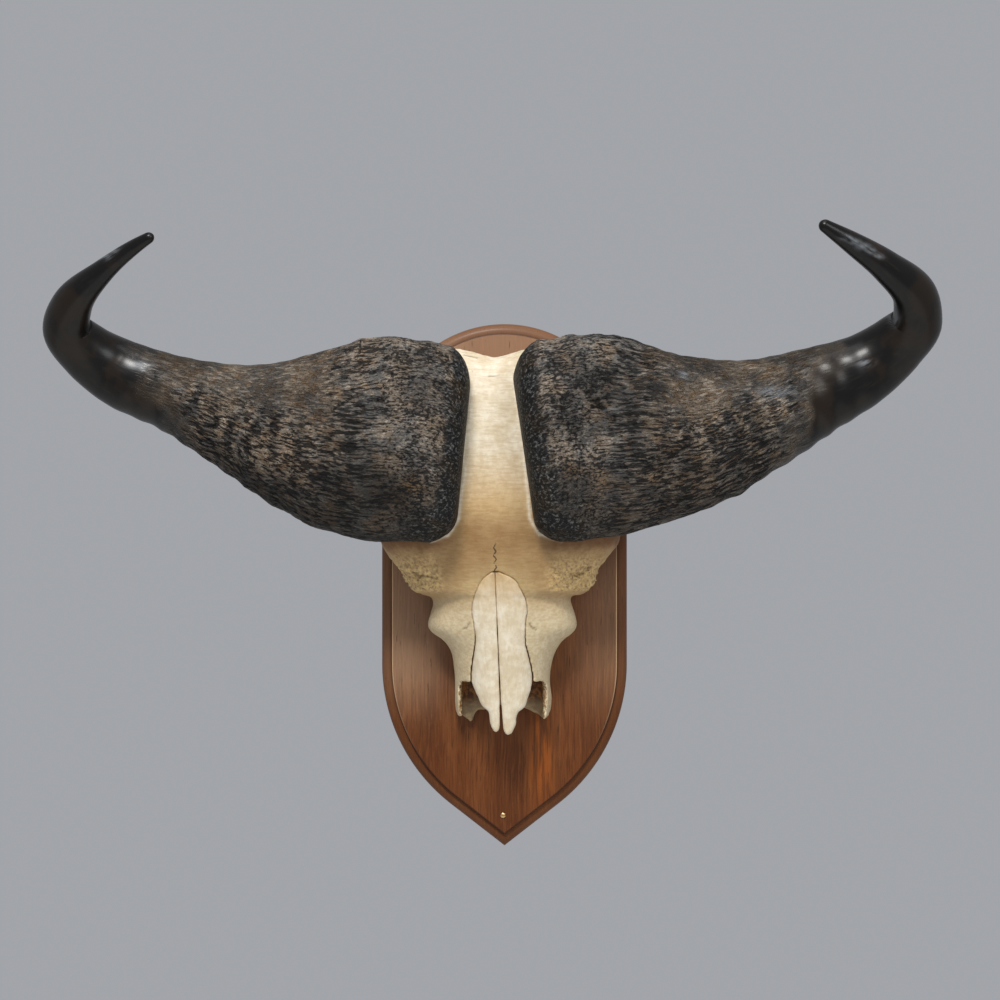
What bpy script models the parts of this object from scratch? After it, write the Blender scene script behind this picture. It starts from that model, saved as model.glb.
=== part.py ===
"""Cape buffalo skull cap with both horns, screwed to a shield-shaped wooden wall plaque.

Metres, +Z up. The back of the plaque lies in the plane y = 0 and the skull faces -Y, so a
stand-off is a distance in front of the wall. Left and right are seen from the front.
"""
import math

import bmesh
import bpy
import numpy as np
from mathutils import Vector, noise

MM = 0.001
GAP = 0.35 * MM

# Edges flatter than these stay smooth
BONE_ANGLE = math.radians(40.0)
WOOD_ANGLE = math.radians(30.0)
HORN_ANGLE = math.radians(60.0)
STRIP_ANGLE = math.radians(20.0)

# Plaque: a half round on straight sides, two foot arcs and two straight runs to the point
PLAQUE_HALF_WIDTH = 134.0 * MM
PLAQUE_ARCH_HEIGHT = 150.2 * MM
PLAQUE_FOOT_HEIGHT = -87.7 * MM
PLAQUE_FOOT_RADIUS = 190.0 * MM
PLAQUE_FOOT_ANGLE = math.radians(52.6)
PLAQUE_THICKNESS = 22.0 * MM
MOULDING_EDGE = 9.0 * MM
MOULDING_RISE = 8.0 * MM
MOULDING_WIDTH = 9.5 * MM
MOULDING_QUIRK = 1.5 * MM
FIELD_STEP = 3.5 * MM
FIELD_ARRIS = 1.0 * MM
FIELD_SLOPE = 0.4 * MM
EDGE_BREAK = 0.8 * MM
ARCH_POINTS = 17
FOOT_POINTS = 7
MOULDING_STEPS = 4

# Skull cap: height, left edge, right edge, crown stand-off, stand-off of the widest level,
# fullness of the vault, share of the half width left at the foot, stand-off of the back (mm)
BACK = 22.35
SKULL_ROWS = (
    (-160.0, -50.0, 46.0, 84.8, 33.0, 2.2, 0.94, BACK),
    (-149.0, -50.5, 47.0, 86.5, 33.0, 2.2, 0.94, BACK),
    (-142.0, -52.0, 48.5, 87.6, 34.0, 2.2, 0.95, BACK),
    (-124.0, -53.5, 51.3, 90.4, 36.0, 2.2, 0.96, BACK),
    (-103.0, -53.5, 49.3, 93.6, 38.0, 2.2, 0.98, BACK),
    (-88.0, -54.8, 50.4, 96.0, 39.0, 2.2, 0.98, BACK),
    (-68.0, -60.0, 57.8, 99.5, 43.0, 2.1, 0.97, BACK),
    (-59.0, -67.5, 64.0, 101.0, 46.0, 2.0, 0.95, BACK),
    (-51.0, -78.5, 74.0, 102.3, 49.0, 1.9, 0.92, BACK),
    (-43.0, -82.7, 78.3, 103.5, 50.0, 1.9, 0.90, BACK),
    (-30.0, -79.5, 75.8, 105.5, 51.0, 1.9, 0.92, BACK),
    (-20.0, -77.3, 72.5, 107.0, 52.0, 1.9, 0.94, BACK),
    (-11.5, -80.0, 71.5, 108.5, 54.0, 1.9, 0.94, BACK),
    (-8.5, -94.0, 84.5, 109.2, 57.0, 1.95, 0.88, BACK),
    (-3.0, -100.5, 93.5, 110.2, 58.0, 2.0, 0.85, BACK),
    (5.0, -105.5, 97.0, 111.5, 59.0, 2.0, 0.82, BACK),
    (17.0, -113.0, 101.5, 114.0, 60.0, 2.05, 0.80, BACK),
    (31.0, -124.0, 111.0, 117.0, 60.0, 2.1, 0.78, BACK),
    (48.0, -133.0, 123.5, 121.0, 60.0, 2.25, 0.76, BACK),
    (70.0, -134.0, 125.0, 125.0, 62.0, 2.5, 0.72, BACK),
    (100.0, -128.0, 119.0, 127.3, 65.0, 2.8, 0.70, BACK),
    (140.0, -122.0, 113.0, 127.0, 68.0, 3.0, 0.72, BACK),
    (180.0, -117.0, 108.0, 124.5, 70.0, 2.9, 0.76, BACK),
    (212.0, -111.0, 102.0, 118.5, 72.0, 2.6, 0.80, BACK),
    (229.0, -103.0, 94.0, 111.5, 73.0, 2.4, 0.84, 27.0),
    (238.0, -90.0, 81.0, 103.5, 74.0, 2.3, 0.88, 40.0),
    (243.0, -66.0, 55.0, 93.0, 74.0, 2.2, 0.92, 58.0),
)
SKULL_FOOT_HEIGHT = -149.0
SKULL_TOP_HEIGHT = 243.0
SKULL_RING_SPACING = 15.0
SKULL_HALF_POINTS = 12
SKULL_BACK_POINTS = 1
WALL_STEPS = 12
VAULT_STEPS = 60
CREST_START = 190.0
CREST_RISE = 8.5
CREST_REACH = 46.0
MIDLINE_FOOT = (-158.0, -3.0)
MIDLINE_NASION = (17.0, -10.3)
MIDLINE_TOP = (250.0, -11.0)
BROW_RELIEF = 1.7 * MM
BONE_RELIEF = 0.5 * MM
BROW_HEIGHTS = (-8.0 * MM, 55.0 * MM)
BROW_FADES = (10.0 * MM, 12.0 * MM)
BROW_START = 40.0 * MM
BROW_SPREAD = 20.0 * MM
BROW_GRAIN = 75.0
BONE_GRAIN = 28.0
BONE_GRAIN_SHIFT = Vector((3.1, 7.7, 1.3))
HORN_CLEARANCE = 1.5 * GAP

# Nasal bones: height, outer edge of the left one, outer edge of the right one (mm)
NASAL_ROWS = (
    (-158.5, -7.0, 6.0),
    (-156.0, -10.5, 8.8),
    (-150.0, -14.4, 11.0),
    (-134.0, -18.5, 14.2),
    (-130.5, -23.2, 19.4),
    (-120.0, -27.5, 23.8),
    (-112.0, -31.0, 26.9),
    (-99.0, -35.0, 29.0),
    (-88.0, -34.6, 28.0),
    (-73.0, -32.5, 24.8),
    (-57.0, -30.9, 21.6),
    (-41.0, -32.5, 21.8),
    (-26.0, -34.6, 23.7),
    (-13.0, -33.0, 21.6),
    (-2.0, -29.0, 16.5),
    (9.0, -22.5, 8.6),
    (15.5, -14.0, -5.0),
)
NASAL_TIP_DROP = {"left": 3.0 * MM, "right": 0.0}
NASAL_THICKNESS = 5.0 * MM
NASAL_BULGE = 1.6 * MM
NASAL_ACROSS = 5
NASAL_RING_SPACING = 18.0
SUTURE_HALF_GAP = (0.2, 0.35, 0.7, 1.3)
SUTURE_GAP_HEIGHTS = (-160.0, -120.0, -60.0, 20.0)
NASAL_EDGE_THINNING = 0.45
NASAL_BULGE_LEVEL = 0.35
NASAL_DROP_START = -100.0
NASAL_DROP_REACH = 58.0
BED_MARGIN = (1.9, 1.9, 0.7, 0.45)
BED_ACROSS = 7
BED_BELOW = 12.0
BED_ABOVE = 0.8
BED_CLEARANCE = 1.0
BED_LID = 12.0

# Nasal cavity: height, left edge, right edge, stand-off of its floor (mm)
CAVITY_ROWS = (
    (-175.0, -46.0, 41.5, 32.0),
    (-103.0, -46.0, 41.5, 33.0),
    (-70.0, -43.0, 35.0, 36.0),
    (-50.0, -38.0, 27.0, 42.0),
    (-36.0, -28.0, 16.0, 56.0),
    (-29.0, -17.0, 3.0, 74.0),
)
CAVITY_WALL = 5.2
CAVITY_CORNER = 9.0
CAVITY_RINGS = 15
CAVITY_ACROSS = 9
CUTTER_FRONT = -130.0 * MM
CUTTER_FOOT = -159.0 * MM
INCISURE_TOP = -103.0 * MM
INCISURE_SIDES = (-48.0 * MM, 43.5 * MM)
INCISURE_STAND_OFF = 52.0 * MM
PALATE_NOTCH_CENTRE = (-3.0 * MM, -172.0 * MM)
PALATE_NOTCH_RADII = (33.0 * MM, 41.0 * MM)
PALATE_NOTCH_SPAN = (5.0 * MM, -60.0 * MM)
NOTCH_SIDES = 18

ORBIT_CENTRES = ((-124.0 * MM, 18.0 * MM), (116.0 * MM, 20.0 * MM))
ORBIT_STAND_OFF = 20.0 * MM
ORBIT_RADII = (47.0 * MM, 31.0 * MM, 29.0 * MM)
FORAMEN_CENTRES = ((-91.0 * MM, 10.0 * MM), (77.0 * MM, 10.5 * MM))
FORAMEN_RADII = (4.5 * MM, 5.0 * MM, 2.2 * MM)
FORAMEN_RINGS = 6
FORAMEN_SIDES = 8
SCREW_HOLE_END = 2.0 * MM

# Horns: x, z, stand-off, half width, half depth, fullness of the section (mm)
HORN_RIGHT = (
    (19.0, 149.8, 127.5, 104.5, 47.0, 3.0),
    (68.5, 156.9, 125.0, 107.2, 48.0, 2.8),
    (131.6, 159.9, 120.0, 102.0, 46.0, 2.4),
    (195.7, 163.4, 107.0, 84.5, 42.5, 2.2),
    (260.4, 178.8, 93.0, 63.9, 40.0, 2.05),
    (325.1, 205.2, 85.0, 48.5, 37.5, 2.0),
    (388.5, 235.1, 88.0, 37.2, 32.5, 2.0),
    (415.3, 256.7, 100.0, 31.8, 29.0, 2.0),
    (432.8, 279.5, 122.0, 26.4, 25.5, 2.0),
    (426.8, 303.8, 145.0, 23.4, 22.0, 2.0),
    (393.1, 331.2, 174.0, 16.9, 16.0, 2.0),
    (356.1, 352.7, 195.0, 11.8, 11.0, 2.0),
    (319.5, 373.0, 209.0, 5.8, 5.6, 2.0),
)
HORN_LEFT = (
    (-42.0, 149.5, 125.5, 104.5, 47.0, 3.0),
    (-94.0, 154.4, 125.0, 107.9, 48.0, 2.8),
    (-157.2, 155.2, 120.0, 103.5, 46.0, 2.4),
    (-221.3, 163.9, 107.0, 82.8, 42.0, 2.2),
    (-286.1, 181.2, 93.0, 56.7, 39.5, 2.05),
    (-350.9, 204.4, 85.0, 41.0, 36.0, 2.0),
    (-414.3, 229.8, 88.0, 35.6, 31.5, 2.0),
    (-441.0, 248.2, 100.0, 30.7, 28.0, 2.0),
    (-459.4, 272.1, 122.0, 25.4, 24.5, 2.0),
    (-450.1, 294.4, 145.0, 21.3, 20.5, 2.0),
    (-412.9, 326.9, 176.0, 12.1, 12.0, 2.0),
    (-374.7, 351.4, 198.0, 7.3, 7.2, 2.0),
    (-357.0, 360.5, 207.0, 5.2, 5.0, 2.0),
)
HORN_SIDES = 20
OUTLINE_STEPS = 181
TANGENT_STEP = 2.0
BOSS_LENGTH = 190.0
BOSS_SPACING = 10.5
SWEEP_SPACING = 14.0
TIP_SPACING = 21.0
SWEEP_END = 420.0
BOSS_END_STEPS = (0.0, 2.0, 7.0, 15.0, 25.0)
BOSS_CORNERS = {"left": (46.0, 30.0), "right": (40.0, 28.0)}
BOSS_EDGE_ROUND = 20.0
HORN_TIP_STEPS = (6.0, 3.2, 1.2, 0.15)
HORN_TIP_ROUND = 6.0
HORN_TIP_CLEAR = 4.0
BARK_HEIGHT = 4.2 * MM
BARK_FURROW = 2.4 * MM
BARK_END = 330.0
BARK_FADE = 160.0
BARK_GRAIN = 24.0
FURROW_GRAIN = Vector((18.0, 60.0, 60.0))
RING_HEIGHT = 1.3 * MM
RING_SPAN = (150.0, 400.0)
RING_FADES = (60.0, 80.0)
RING_PITCH = 26.0

# Hardware: radius against depth of each turned piece, and where each one sits
TACK_PLACE = (-1.6 * MM, -252.0 * MM)
TACK_HEAD_RADIUS = 3.2 * MM
TACK_HEAD_HEIGHT = 1.8 * MM
TACK_SHANK_RADIUS = 0.9 * MM
TACK_LENGTH = 8.0 * MM
TACK_POINT_LENGTH = 1.5 * MM
TACK_DOME_STEPS = 3
SKULL_SCREWS = {"left": (-52.0 * MM, 165.0 * MM), "right": (46.0 * MM, 165.0 * MM),
                "low": (-8.0 * MM, 25.0 * MM)}
SKULL_SCREW_HEAD_RADIUS = 4.8 * MM
SKULL_SCREW_HEAD_DEPTH = 3.6 * MM
SKULL_SCREW_SHANK_RADIUS = 2.5 * MM
SKULL_SCREW_LENGTH = 45.0 * MM
SKULL_SCREW_SINK = 0.6 * MM
SCREW_HEAD_EDGE = 0.3 * MM
HANGER_HEIGHT = 228.0 * MM
HANGER_LENGTH = 76.0 * MM
HANGER_WIDTH = 17.0 * MM
HANGER_THICKNESS = 1.6 * MM
HANGER_RISE = 2.2 * MM
HANGER_RISE_ENDS = (20.0 * MM, 24.0 * MM)
HANGER_TOOTH_PITCH = 4.0 * MM
HANGER_TOOTH_HEIGHT = 2.4 * MM
RECESS_DEPTH = 5.0 * MM
RECESS_SIZE = (84.0 * MM, 26.0 * MM)
RECESS_CORNER = 6.0 * MM
RECESS_CORNER_STEPS = 4
HANGER_SCREW_OFFSET = 31.0 * MM
HANGER_SCREW_HEAD_RADIUS = 3.4 * MM
HANGER_SCREW_HEAD_DEPTH = 1.3 * MM
HANGER_SCREW_SHANK_RADIUS = 1.7 * MM
HANGER_SCREW_LENGTH = 13.0 * MM
SCREW_SIDES = 12
SLOT_WIDTH = 1.0 * MM
SLOT_DEPTH = 0.7 * MM

MATERIALS = {
    "wood": ((0.150, 0.052, 0.026), 0.38, 0.0),
    "bone": ((0.640, 0.530, 0.380), 0.62, 0.0),
    "horn": ((0.030, 0.024, 0.020), 0.48, 0.0),
    "steel": ((0.480, 0.470, 0.450), 0.34, 1.0),
    "brass": ((0.560, 0.420, 0.200), 0.32, 1.0),
}


def clear_scene():
    for obj in list(bpy.data.objects):
        bpy.data.objects.remove(obj, do_unlink=True)


def make_material(name):
    colour, roughness, metallic = MATERIALS[name]
    material = bpy.data.materials.new(name)
    material.use_nodes = True
    shader = material.node_tree.nodes["Principled BSDF"]
    shader.inputs["Base Color"].default_value = (*colour, 1.0)
    shader.inputs["Roughness"].default_value = roughness
    shader.inputs["Metallic"].default_value = metallic
    return material


def add_object(name, bm, material=None, smooth_angle=BONE_ANGLE):
    """Turns a bmesh into a named object with outward faces; one without a material is a cutter."""
    bmesh.ops.recalc_face_normals(bm, faces=bm.faces[:])
    mesh = bpy.data.meshes.new(name)
    bm.to_mesh(mesh)
    bm.free()
    mesh.shade_smooth()
    mesh.set_sharp_from_angle(angle=smooth_angle)
    obj = bpy.data.objects.new(name, mesh)
    bpy.context.collection.objects.link(obj)
    if material is None:
        obj.display_type = "WIRE"
        obj.hide_render = True
    else:
        mesh.materials.append(material)
    return obj


def combine(target, other, operation="DIFFERENCE"):
    """Leaves a live Boolean on the target that cuts the other object out of it, or joins it on."""
    modifier = target.modifiers.new(f"{operation.lower()} {other.name}", "BOOLEAN")
    modifier.operation = operation
    modifier.solver = "EXACT"
    modifier.object = other


def clamp(value):
    return min(max(value, 0.0), 1.0)


def smooth(knots, values, at):
    """A cubic through the knots that never swings past them."""
    knots = np.asarray(knots, dtype=float)
    values = np.asarray(values, dtype=float)
    secant = np.diff(values) / np.diff(knots)
    slope = np.gradient(values, knots)
    limit = 3.0 * np.minimum(np.abs(secant[:-1]), np.abs(secant[1:]))
    slope[1:-1] = np.clip(slope[1:-1], -limit, limit)
    slope[1:-1][secant[:-1] * secant[1:] <= 0.0] = 0.0
    low = np.clip(np.searchsorted(knots, at, side="right") - 1, 0, len(knots) - 2)
    span = knots[low + 1] - knots[low]
    t = np.clip((at - knots[low]) / span, 0.0, 1.0)
    start = values[low] * (2.0 * t**3 - 3.0 * t**2 + 1.0) + slope[low] * span * (t**3 - 2.0 * t**2 + t)
    end = values[low + 1] * (3.0 * t**2 - 2.0 * t**3) + slope[low + 1] * span * (t**3 - t**2)
    return start + end


def even_points(line, count):
    """Points at equal steps along a polyline, both ends included."""
    line = np.asarray(line, dtype=float)
    reach = np.concatenate(([0.0], np.cumsum(np.linalg.norm(np.diff(line, axis=0), axis=1))))
    steps = np.linspace(0.0, reach[-1], count)
    return np.column_stack([np.interp(steps, reach, line[:, axis]) for axis in range(line.shape[1])])


def end_round(depth, radius):
    """How far a corner of the given radius pulls in at a depth from its end."""
    inside = max(radius - depth, 0.0)
    return radius - math.sqrt(radius * radius - inside * inside)


def loft(rings):
    """A closed skin over rings that all have the same number of points, with flat end caps."""
    bm = bmesh.new()
    loops = [[bm.verts.new(point) for point in ring] for ring in rings]
    for near, far in zip(loops, loops[1:]):
        for i in range(len(near)):
            j = (i + 1) % len(near)
            bm.faces.new((near[i], near[j], far[j], far[i]))
    bm.faces.new(reversed(loops[0]))
    bm.faces.new(loops[-1])
    return bm


def turned(profile, place, sides):
    """A closed turned piece on an axis along Y; profile holds (radius, y) from one pole to the other."""
    rings = []
    for radius, y in profile:
        angles = [2.0 * math.pi * k / sides for k in range(sides)]
        rings.append([(place[0] + radius * math.cos(a), y, place[1] + radius * math.sin(a)) for a in angles])
    return loft(rings)


def box(low, high):
    bm = bmesh.new()
    bmesh.ops.create_cube(bm, size=1.0)
    low = Vector(low)
    high = Vector(high)
    bmesh.ops.scale(bm, vec=high - low, verts=bm.verts)
    bmesh.ops.translate(bm, vec=(low + high) / 2.0, verts=bm.verts)
    return bm


def ball(centre, radii, rings=8, sides=12):
    bm = bmesh.new()
    bmesh.ops.create_uvsphere(bm, u_segments=sides, v_segments=rings, radius=1.0)
    bmesh.ops.scale(bm, vec=radii, verts=bm.verts)
    bmesh.ops.translate(bm, vec=centre, verts=bm.verts)
    return bm


def shield_outline(inset, stand_off):
    """The plaque's outline as a closed ring, moved inwards by inset."""
    half = PLAQUE_HALF_WIDTH - inset
    foot = PLAQUE_FOOT_RADIUS - inset
    points = [(half * math.cos(a), PLAQUE_ARCH_HEIGHT + half * math.sin(a))
              for a in np.linspace(0.0, math.pi, ARCH_POINTS)]
    centre = PLAQUE_HALF_WIDTH - PLAQUE_FOOT_RADIUS
    arc = [(centre + foot * math.cos(a), PLAQUE_FOOT_HEIGHT - foot * math.sin(a))
           for a in np.linspace(0.0, PLAQUE_FOOT_ANGLE, FOOT_POINTS)]
    end_x, end_z = arc[-1]
    point = (0.0, end_z - end_x / math.tan(PLAQUE_FOOT_ANGLE))
    left_arc = [(-x, z) for x, z in arc]
    ring = points + left_arc + [point] + arc[::-1]
    return [(x, -stand_off, z) for x, z in ring]


def moulding_profile():
    """Inset and stand-off of each ring from the back edge to the flat field."""
    ovolo = []
    for angle in np.linspace(0.0, math.pi / 2.0, MOULDING_STEPS + 1):
        inset = MOULDING_WIDTH * (1.0 - math.cos(angle))
        ovolo.append((inset, MOULDING_EDGE + MOULDING_RISE * math.sin(angle)))
    quirk = MOULDING_WIDTH + MOULDING_QUIRK
    top = MOULDING_EDGE + MOULDING_RISE
    step = [(quirk, top), (quirk + FIELD_SLOPE, top + FIELD_STEP), (quirk + FIELD_ARRIS, PLAQUE_THICKNESS)]
    return [(EDGE_BREAK, 0.0), (0.0, EDGE_BREAK)] + ovolo + step


def make_plaque(materials):
    rings = [shield_outline(inset, stand_off) for inset, stand_off in moulding_profile()]
    plaque = add_object("plaque", loft(rings), materials["wood"], WOOD_ANGLE)
    half_length, half_width = RECESS_SIZE[0] / 2.0, RECESS_SIZE[1] / 2.0
    recess = box((-half_length, -RECESS_DEPTH, HANGER_HEIGHT - half_width),
                 (half_length, RECESS_DEPTH, HANGER_HEIGHT + half_width))
    bmesh.ops.bevel(recess, geom=[e for e in recess.edges if abs(e.verts[0].co.y - e.verts[1].co.y) > MM],
                    offset=RECESS_CORNER, segments=RECESS_CORNER_STEPS, affect="EDGES", profile=0.5)
    combine(plaque, add_object("hanger_recess", recess))
    for name, place in SKULL_SCREWS.items():
        combine(plaque, skull_screw_hole(name, place))
    for side in (-1.0, 1.0):
        place = (side * HANGER_SCREW_OFFSET, HANGER_HEIGHT)
        radius = HANGER_SCREW_SHANK_RADIUS + GAP
        depth = RECESS_DEPTH + HANGER_SCREW_LENGTH
        hole = turned([(radius, 0.0), (radius, -depth)], place, SCREW_SIDES)
        combine(plaque, add_object(f"hanger_screw_hole_{side:+.0f}", hole))
    radius = TACK_SHANK_RADIUS + GAP
    start = -PLAQUE_THICKNESS - MM
    hole = turned([(radius, start), (radius, start + TACK_LENGTH + 2.0 * MM)], TACK_PLACE, SCREW_SIDES)
    combine(plaque, add_object("tack_hole", hole))


def skull_columns(height):
    """Left, right, crown, level, fullness, foot and back of the skull cap at a height in mm."""
    table = np.array(SKULL_ROWS)
    return [float(smooth(table[:, 0], table[:, k], height)) for k in range(1, table.shape[1])]


def midline(height):
    knots = (MIDLINE_FOOT, MIDLINE_NASION, MIDLINE_TOP)
    return float(np.interp(height, [k[0] for k in knots], [k[1] for k in knots]))


def vault(x, height):
    """Stand-off of the bone's outer face at x and a height, all in mm."""
    left, right, crown, level, fullness, _, _ = skull_columns(height)
    middle = midline(height)
    half = right - middle if x > middle else middle - left
    share = min(abs(x - middle) / half, 1.0)
    return level + (crown - level) * (1.0 - share**fullness) ** (1.0 / fullness)


def half_section(edge, middle, crown, level, fullness, foot, back):
    """One side of a section, from the back to the crown, as (x, stand-off) in mm."""
    half = edge - middle
    line = []
    for t in np.linspace(0.0, 1.0, WALL_STEPS, endpoint=False):
        tuck = (1.0 - foot) * (1.0 - t) ** 2
        line.append((edge - half * tuck, back + (level - back) * t))
    for angle in np.linspace(0.0, math.pi / 2.0, VAULT_STEPS):
        across = math.cos(angle) ** (2.0 / fullness) if angle < math.pi / 2.0 - 1e-9 else 0.0
        rise = math.sin(angle) ** (2.0 / fullness)
        line.append((middle + half * across, level + (crown - level) * rise))
    return even_points(line, SKULL_HALF_POINTS)


def skull_ring(height):
    left, right, crown, level, fullness, foot, back = skull_columns(height)
    middle = midline(height)
    right_half = half_section(right, middle, crown, level, fullness, foot, back)
    left_half = half_section(left, middle, crown, level, fullness, foot, back)[::-1]
    ring = list(right_half) + list(left_half[1:])
    for k in range(1, SKULL_BACK_POINTS + 1):
        share = k / (SKULL_BACK_POINTS + 1)
        ring.append(left_half[-1] * (1.0 - share) + right_half[0] * share)
    lift = CREST_RISE * clamp((height - CREST_START) / (SKULL_TOP_HEIGHT - CREST_START))
    points = []
    for x, stand_off in ring:
        side = min(abs(x - middle) / CREST_REACH, 1.0)
        points.append(Vector((x * MM, -stand_off * MM, (height + lift * side * side) * MM)))
    return points


def bone_relief(point):
    """Rugged brow bone, and slight unevenness elsewhere; the sawn back stays flat."""
    if -point.y < (BACK + 1.0) * MM:
        return 0.0
    off_middle = abs(point.x - midline(point.z / MM) * MM)
    low, high = BROW_HEIGHTS
    in_brow = clamp((point.z - low) / BROW_FADES[0]) * clamp((high - point.z) / BROW_FADES[1])
    in_brow *= clamp((off_middle - BROW_START) / BROW_SPREAD)
    rugged = noise.noise(point * BROW_GRAIN) * BROW_RELIEF * in_brow
    return rugged + noise.noise(point * BONE_GRAIN + BONE_GRAIN_SHIFT) * BONE_RELIEF


def skull_form():
    """The whole skull cap as one solid, before anything is cut out of it."""
    heights = [SKULL_FOOT_HEIGHT]
    marks = [row[0] for row in SKULL_ROWS if SKULL_FOOT_HEIGHT < row[0] <= SKULL_TOP_HEIGHT]
    for mark in marks:
        pieces = max(1, math.ceil((mark - heights[-1]) / SKULL_RING_SPACING))
        heights += list(np.linspace(heights[-1], mark, pieces + 1)[1:])
    bm = loft([skull_ring(height) for height in heights])
    bmesh.ops.recalc_face_normals(bm, faces=bm.faces[:])
    bm.normal_update()
    for vert in bm.verts:
        if SKULL_FOOT_HEIGHT * MM + MM < vert.co.z < SKULL_TOP_HEIGHT * MM - MM:
            vert.co += vert.normal * bone_relief(vert.co)
    bmesh.ops.triangulate(bm, faces=bm.faces[:])
    return bm


def skull_clearance():
    """The skull cap grown by a little more than the gap, for the horns to be cut with."""
    bm = skull_form()
    bm.normal_update()
    for vert in bm.verts:
        vert.co += vert.normal * HORN_CLEARANCE * vert.calc_shell_factor()
    return add_object("skull_clearance", bm)


def nasal_edges(height):
    """Midline and outer edges of the nasal bones at a height, in mm."""
    table = np.array(NASAL_ROWS)
    left = float(smooth(table[:, 0], table[:, 1], height))
    right = float(smooth(table[:, 0], table[:, 2], height))
    return left, midline(height), right


def nasal_heights():
    heights = [NASAL_ROWS[0][0]]
    for row in NASAL_ROWS[1:]:
        pieces = max(1, math.ceil((row[0] - heights[-1]) / NASAL_RING_SPACING))
        heights += list(np.linspace(heights[-1], row[0], pieces + 1)[1:])
    return heights


def make_nasal(side, materials):
    """One nasal bone: a long arched plate with a free lower end."""
    sign = -1.0 if side == "left" else 1.0
    gaps = SUTURE_HALF_GAP[::-1]
    lift = NASAL_TIP_DROP[side] / MM
    rings = []
    for height in nasal_heights():
        left, middle, right = nasal_edges(height)
        outer = left if side == "left" else right
        inner = middle + sign * float(np.interp(height, SUTURE_GAP_HEIGHTS, gaps))
        upper, lower = [], []
        for u in np.linspace(0.0, 1.0, NASAL_ACROSS):
            x = inner + (outer - inner) * u
            edge = 1.0 - NASAL_EDGE_THINNING * (2.0 * u - 1.0) ** 4
            top = vault(x, height) + NASAL_BULGE / MM * (math.sin(math.pi * u) ** 0.8 - NASAL_BULGE_LEVEL)
            upper.append((x, top))
            lower.append((x, top - NASAL_THICKNESS / MM * edge))
        z = height + lift * clamp((NASAL_DROP_START - height) / NASAL_DROP_REACH)
        rings.append([Vector((x * MM, -d * MM, z * MM)) for x, d in upper + lower[::-1]])
    return add_object(f"nasal_{side}", loft(rings), materials["bone"])


def nasal_bed():
    """The space that both nasal bones fill, with its margin, open to the front."""
    rings = []
    heights = [NASAL_ROWS[0][0] - BED_BELOW] + nasal_heights() + [NASAL_ROWS[-1][0] + BED_ABOVE]
    for height in heights:
        left, middle, right = nasal_edges(height)
        margin = float(np.interp(height, SUTURE_GAP_HEIGHTS, BED_MARGIN))
        low, high = [], []
        for x in np.linspace(left - margin, right + margin, BED_ACROSS):
            face = vault(x, height)
            low.append((x, face - NASAL_THICKNESS / MM - BED_CLEARANCE))
            high.append((x, face + BED_LID))
        rings.append([Vector((x * MM, -d * MM, height * MM)) for x, d in low + high[::-1]])
    return add_object("nasal_bed", loft(rings))


def nasal_cavity():
    """The hollow behind the nasal bones, open at the foot of the face."""
    table = np.array(CAVITY_ROWS)
    rings = []
    for height in np.linspace(CAVITY_ROWS[0][0], CAVITY_ROWS[-1][0], CAVITY_RINGS):
        left, right, floor = (float(np.interp(height, table[:, 0], table[:, k])) for k in (1, 2, 3))
        roof, bed = [], []
        for x in np.linspace(left, right, CAVITY_ACROSS):
            inside = min(x - left, right - x, CAVITY_CORNER)
            round_off = end_round(inside, CAVITY_CORNER)
            roof.append((x, vault(x, height) - CAVITY_WALL))
            bed.append((x, min(floor + round_off, vault(x, height) - 2.0 * CAVITY_WALL)))
        rings.append([Vector((x * MM, -d * MM, height * MM)) for x, d in roof + bed[::-1]])
    return add_object("nasal_cavity", loft(rings))


def nasal_incisure():
    """The open front of the hollow beside and below the free nasal tips."""
    low = (INCISURE_SIDES[0], CUTTER_FRONT, CUTTER_FOOT)
    high = (INCISURE_SIDES[1], -INCISURE_STAND_OFF, INCISURE_TOP)
    return add_object("nasal_incisure", box(low, high))


def palate_notch():
    """The rounded notch in the free edge of the palate."""
    rings = []
    for y in PALATE_NOTCH_SPAN:
        angles = [2.0 * math.pi * k / NOTCH_SIDES for k in range(NOTCH_SIDES)]
        rings.append([(PALATE_NOTCH_CENTRE[0] + PALATE_NOTCH_RADII[0] * math.cos(a), y,
                       PALATE_NOTCH_CENTRE[1] + PALATE_NOTCH_RADII[1] * math.sin(a)) for a in angles])
    return add_object("palate_notch", loft(rings))


def make_skull(materials):
    skull = add_object("skull", skull_form(), materials["bone"])
    nose = nasal_bed()
    for hollow in (nasal_cavity(), nasal_incisure(), palate_notch()):
        combine(nose, hollow, "UNION")
    combine(skull, nose)
    for k, (x, z) in enumerate(ORBIT_CENTRES):
        combine(skull, add_object(f"orbit_{k}", ball((x, -ORBIT_STAND_OFF, z), ORBIT_RADII)))
    for k, (x, z) in enumerate(FORAMEN_CENTRES):
        y = -vault(x / MM, z / MM) * MM
        hole = ball((x, y, z), FORAMEN_RADII, FORAMEN_RINGS, FORAMEN_SIDES)
        combine(skull, add_object(f"foramen_{k}", hole))
    for name, place in SKULL_SCREWS.items():
        radius = SKULL_SCREW_SHANK_RADIUS + GAP
        end = -SKULL_SCREW_LENGTH - SKULL_SCREW_SINK - SCREW_HOLE_END
        hole = turned([(radius, -PLAQUE_THICKNESS + MM), (radius, end)], place, SCREW_SIDES)
        combine(skull, add_object(f"skull_hole_{name}", hole))


def horn_path(stations):
    """Reach along the horn of each station, in mm, and the station table."""
    table = np.array(stations)
    steps = np.linalg.norm(np.diff(table[:, :3], axis=0), axis=1)
    return np.concatenate(([0.0], np.cumsum(steps))), table


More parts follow.
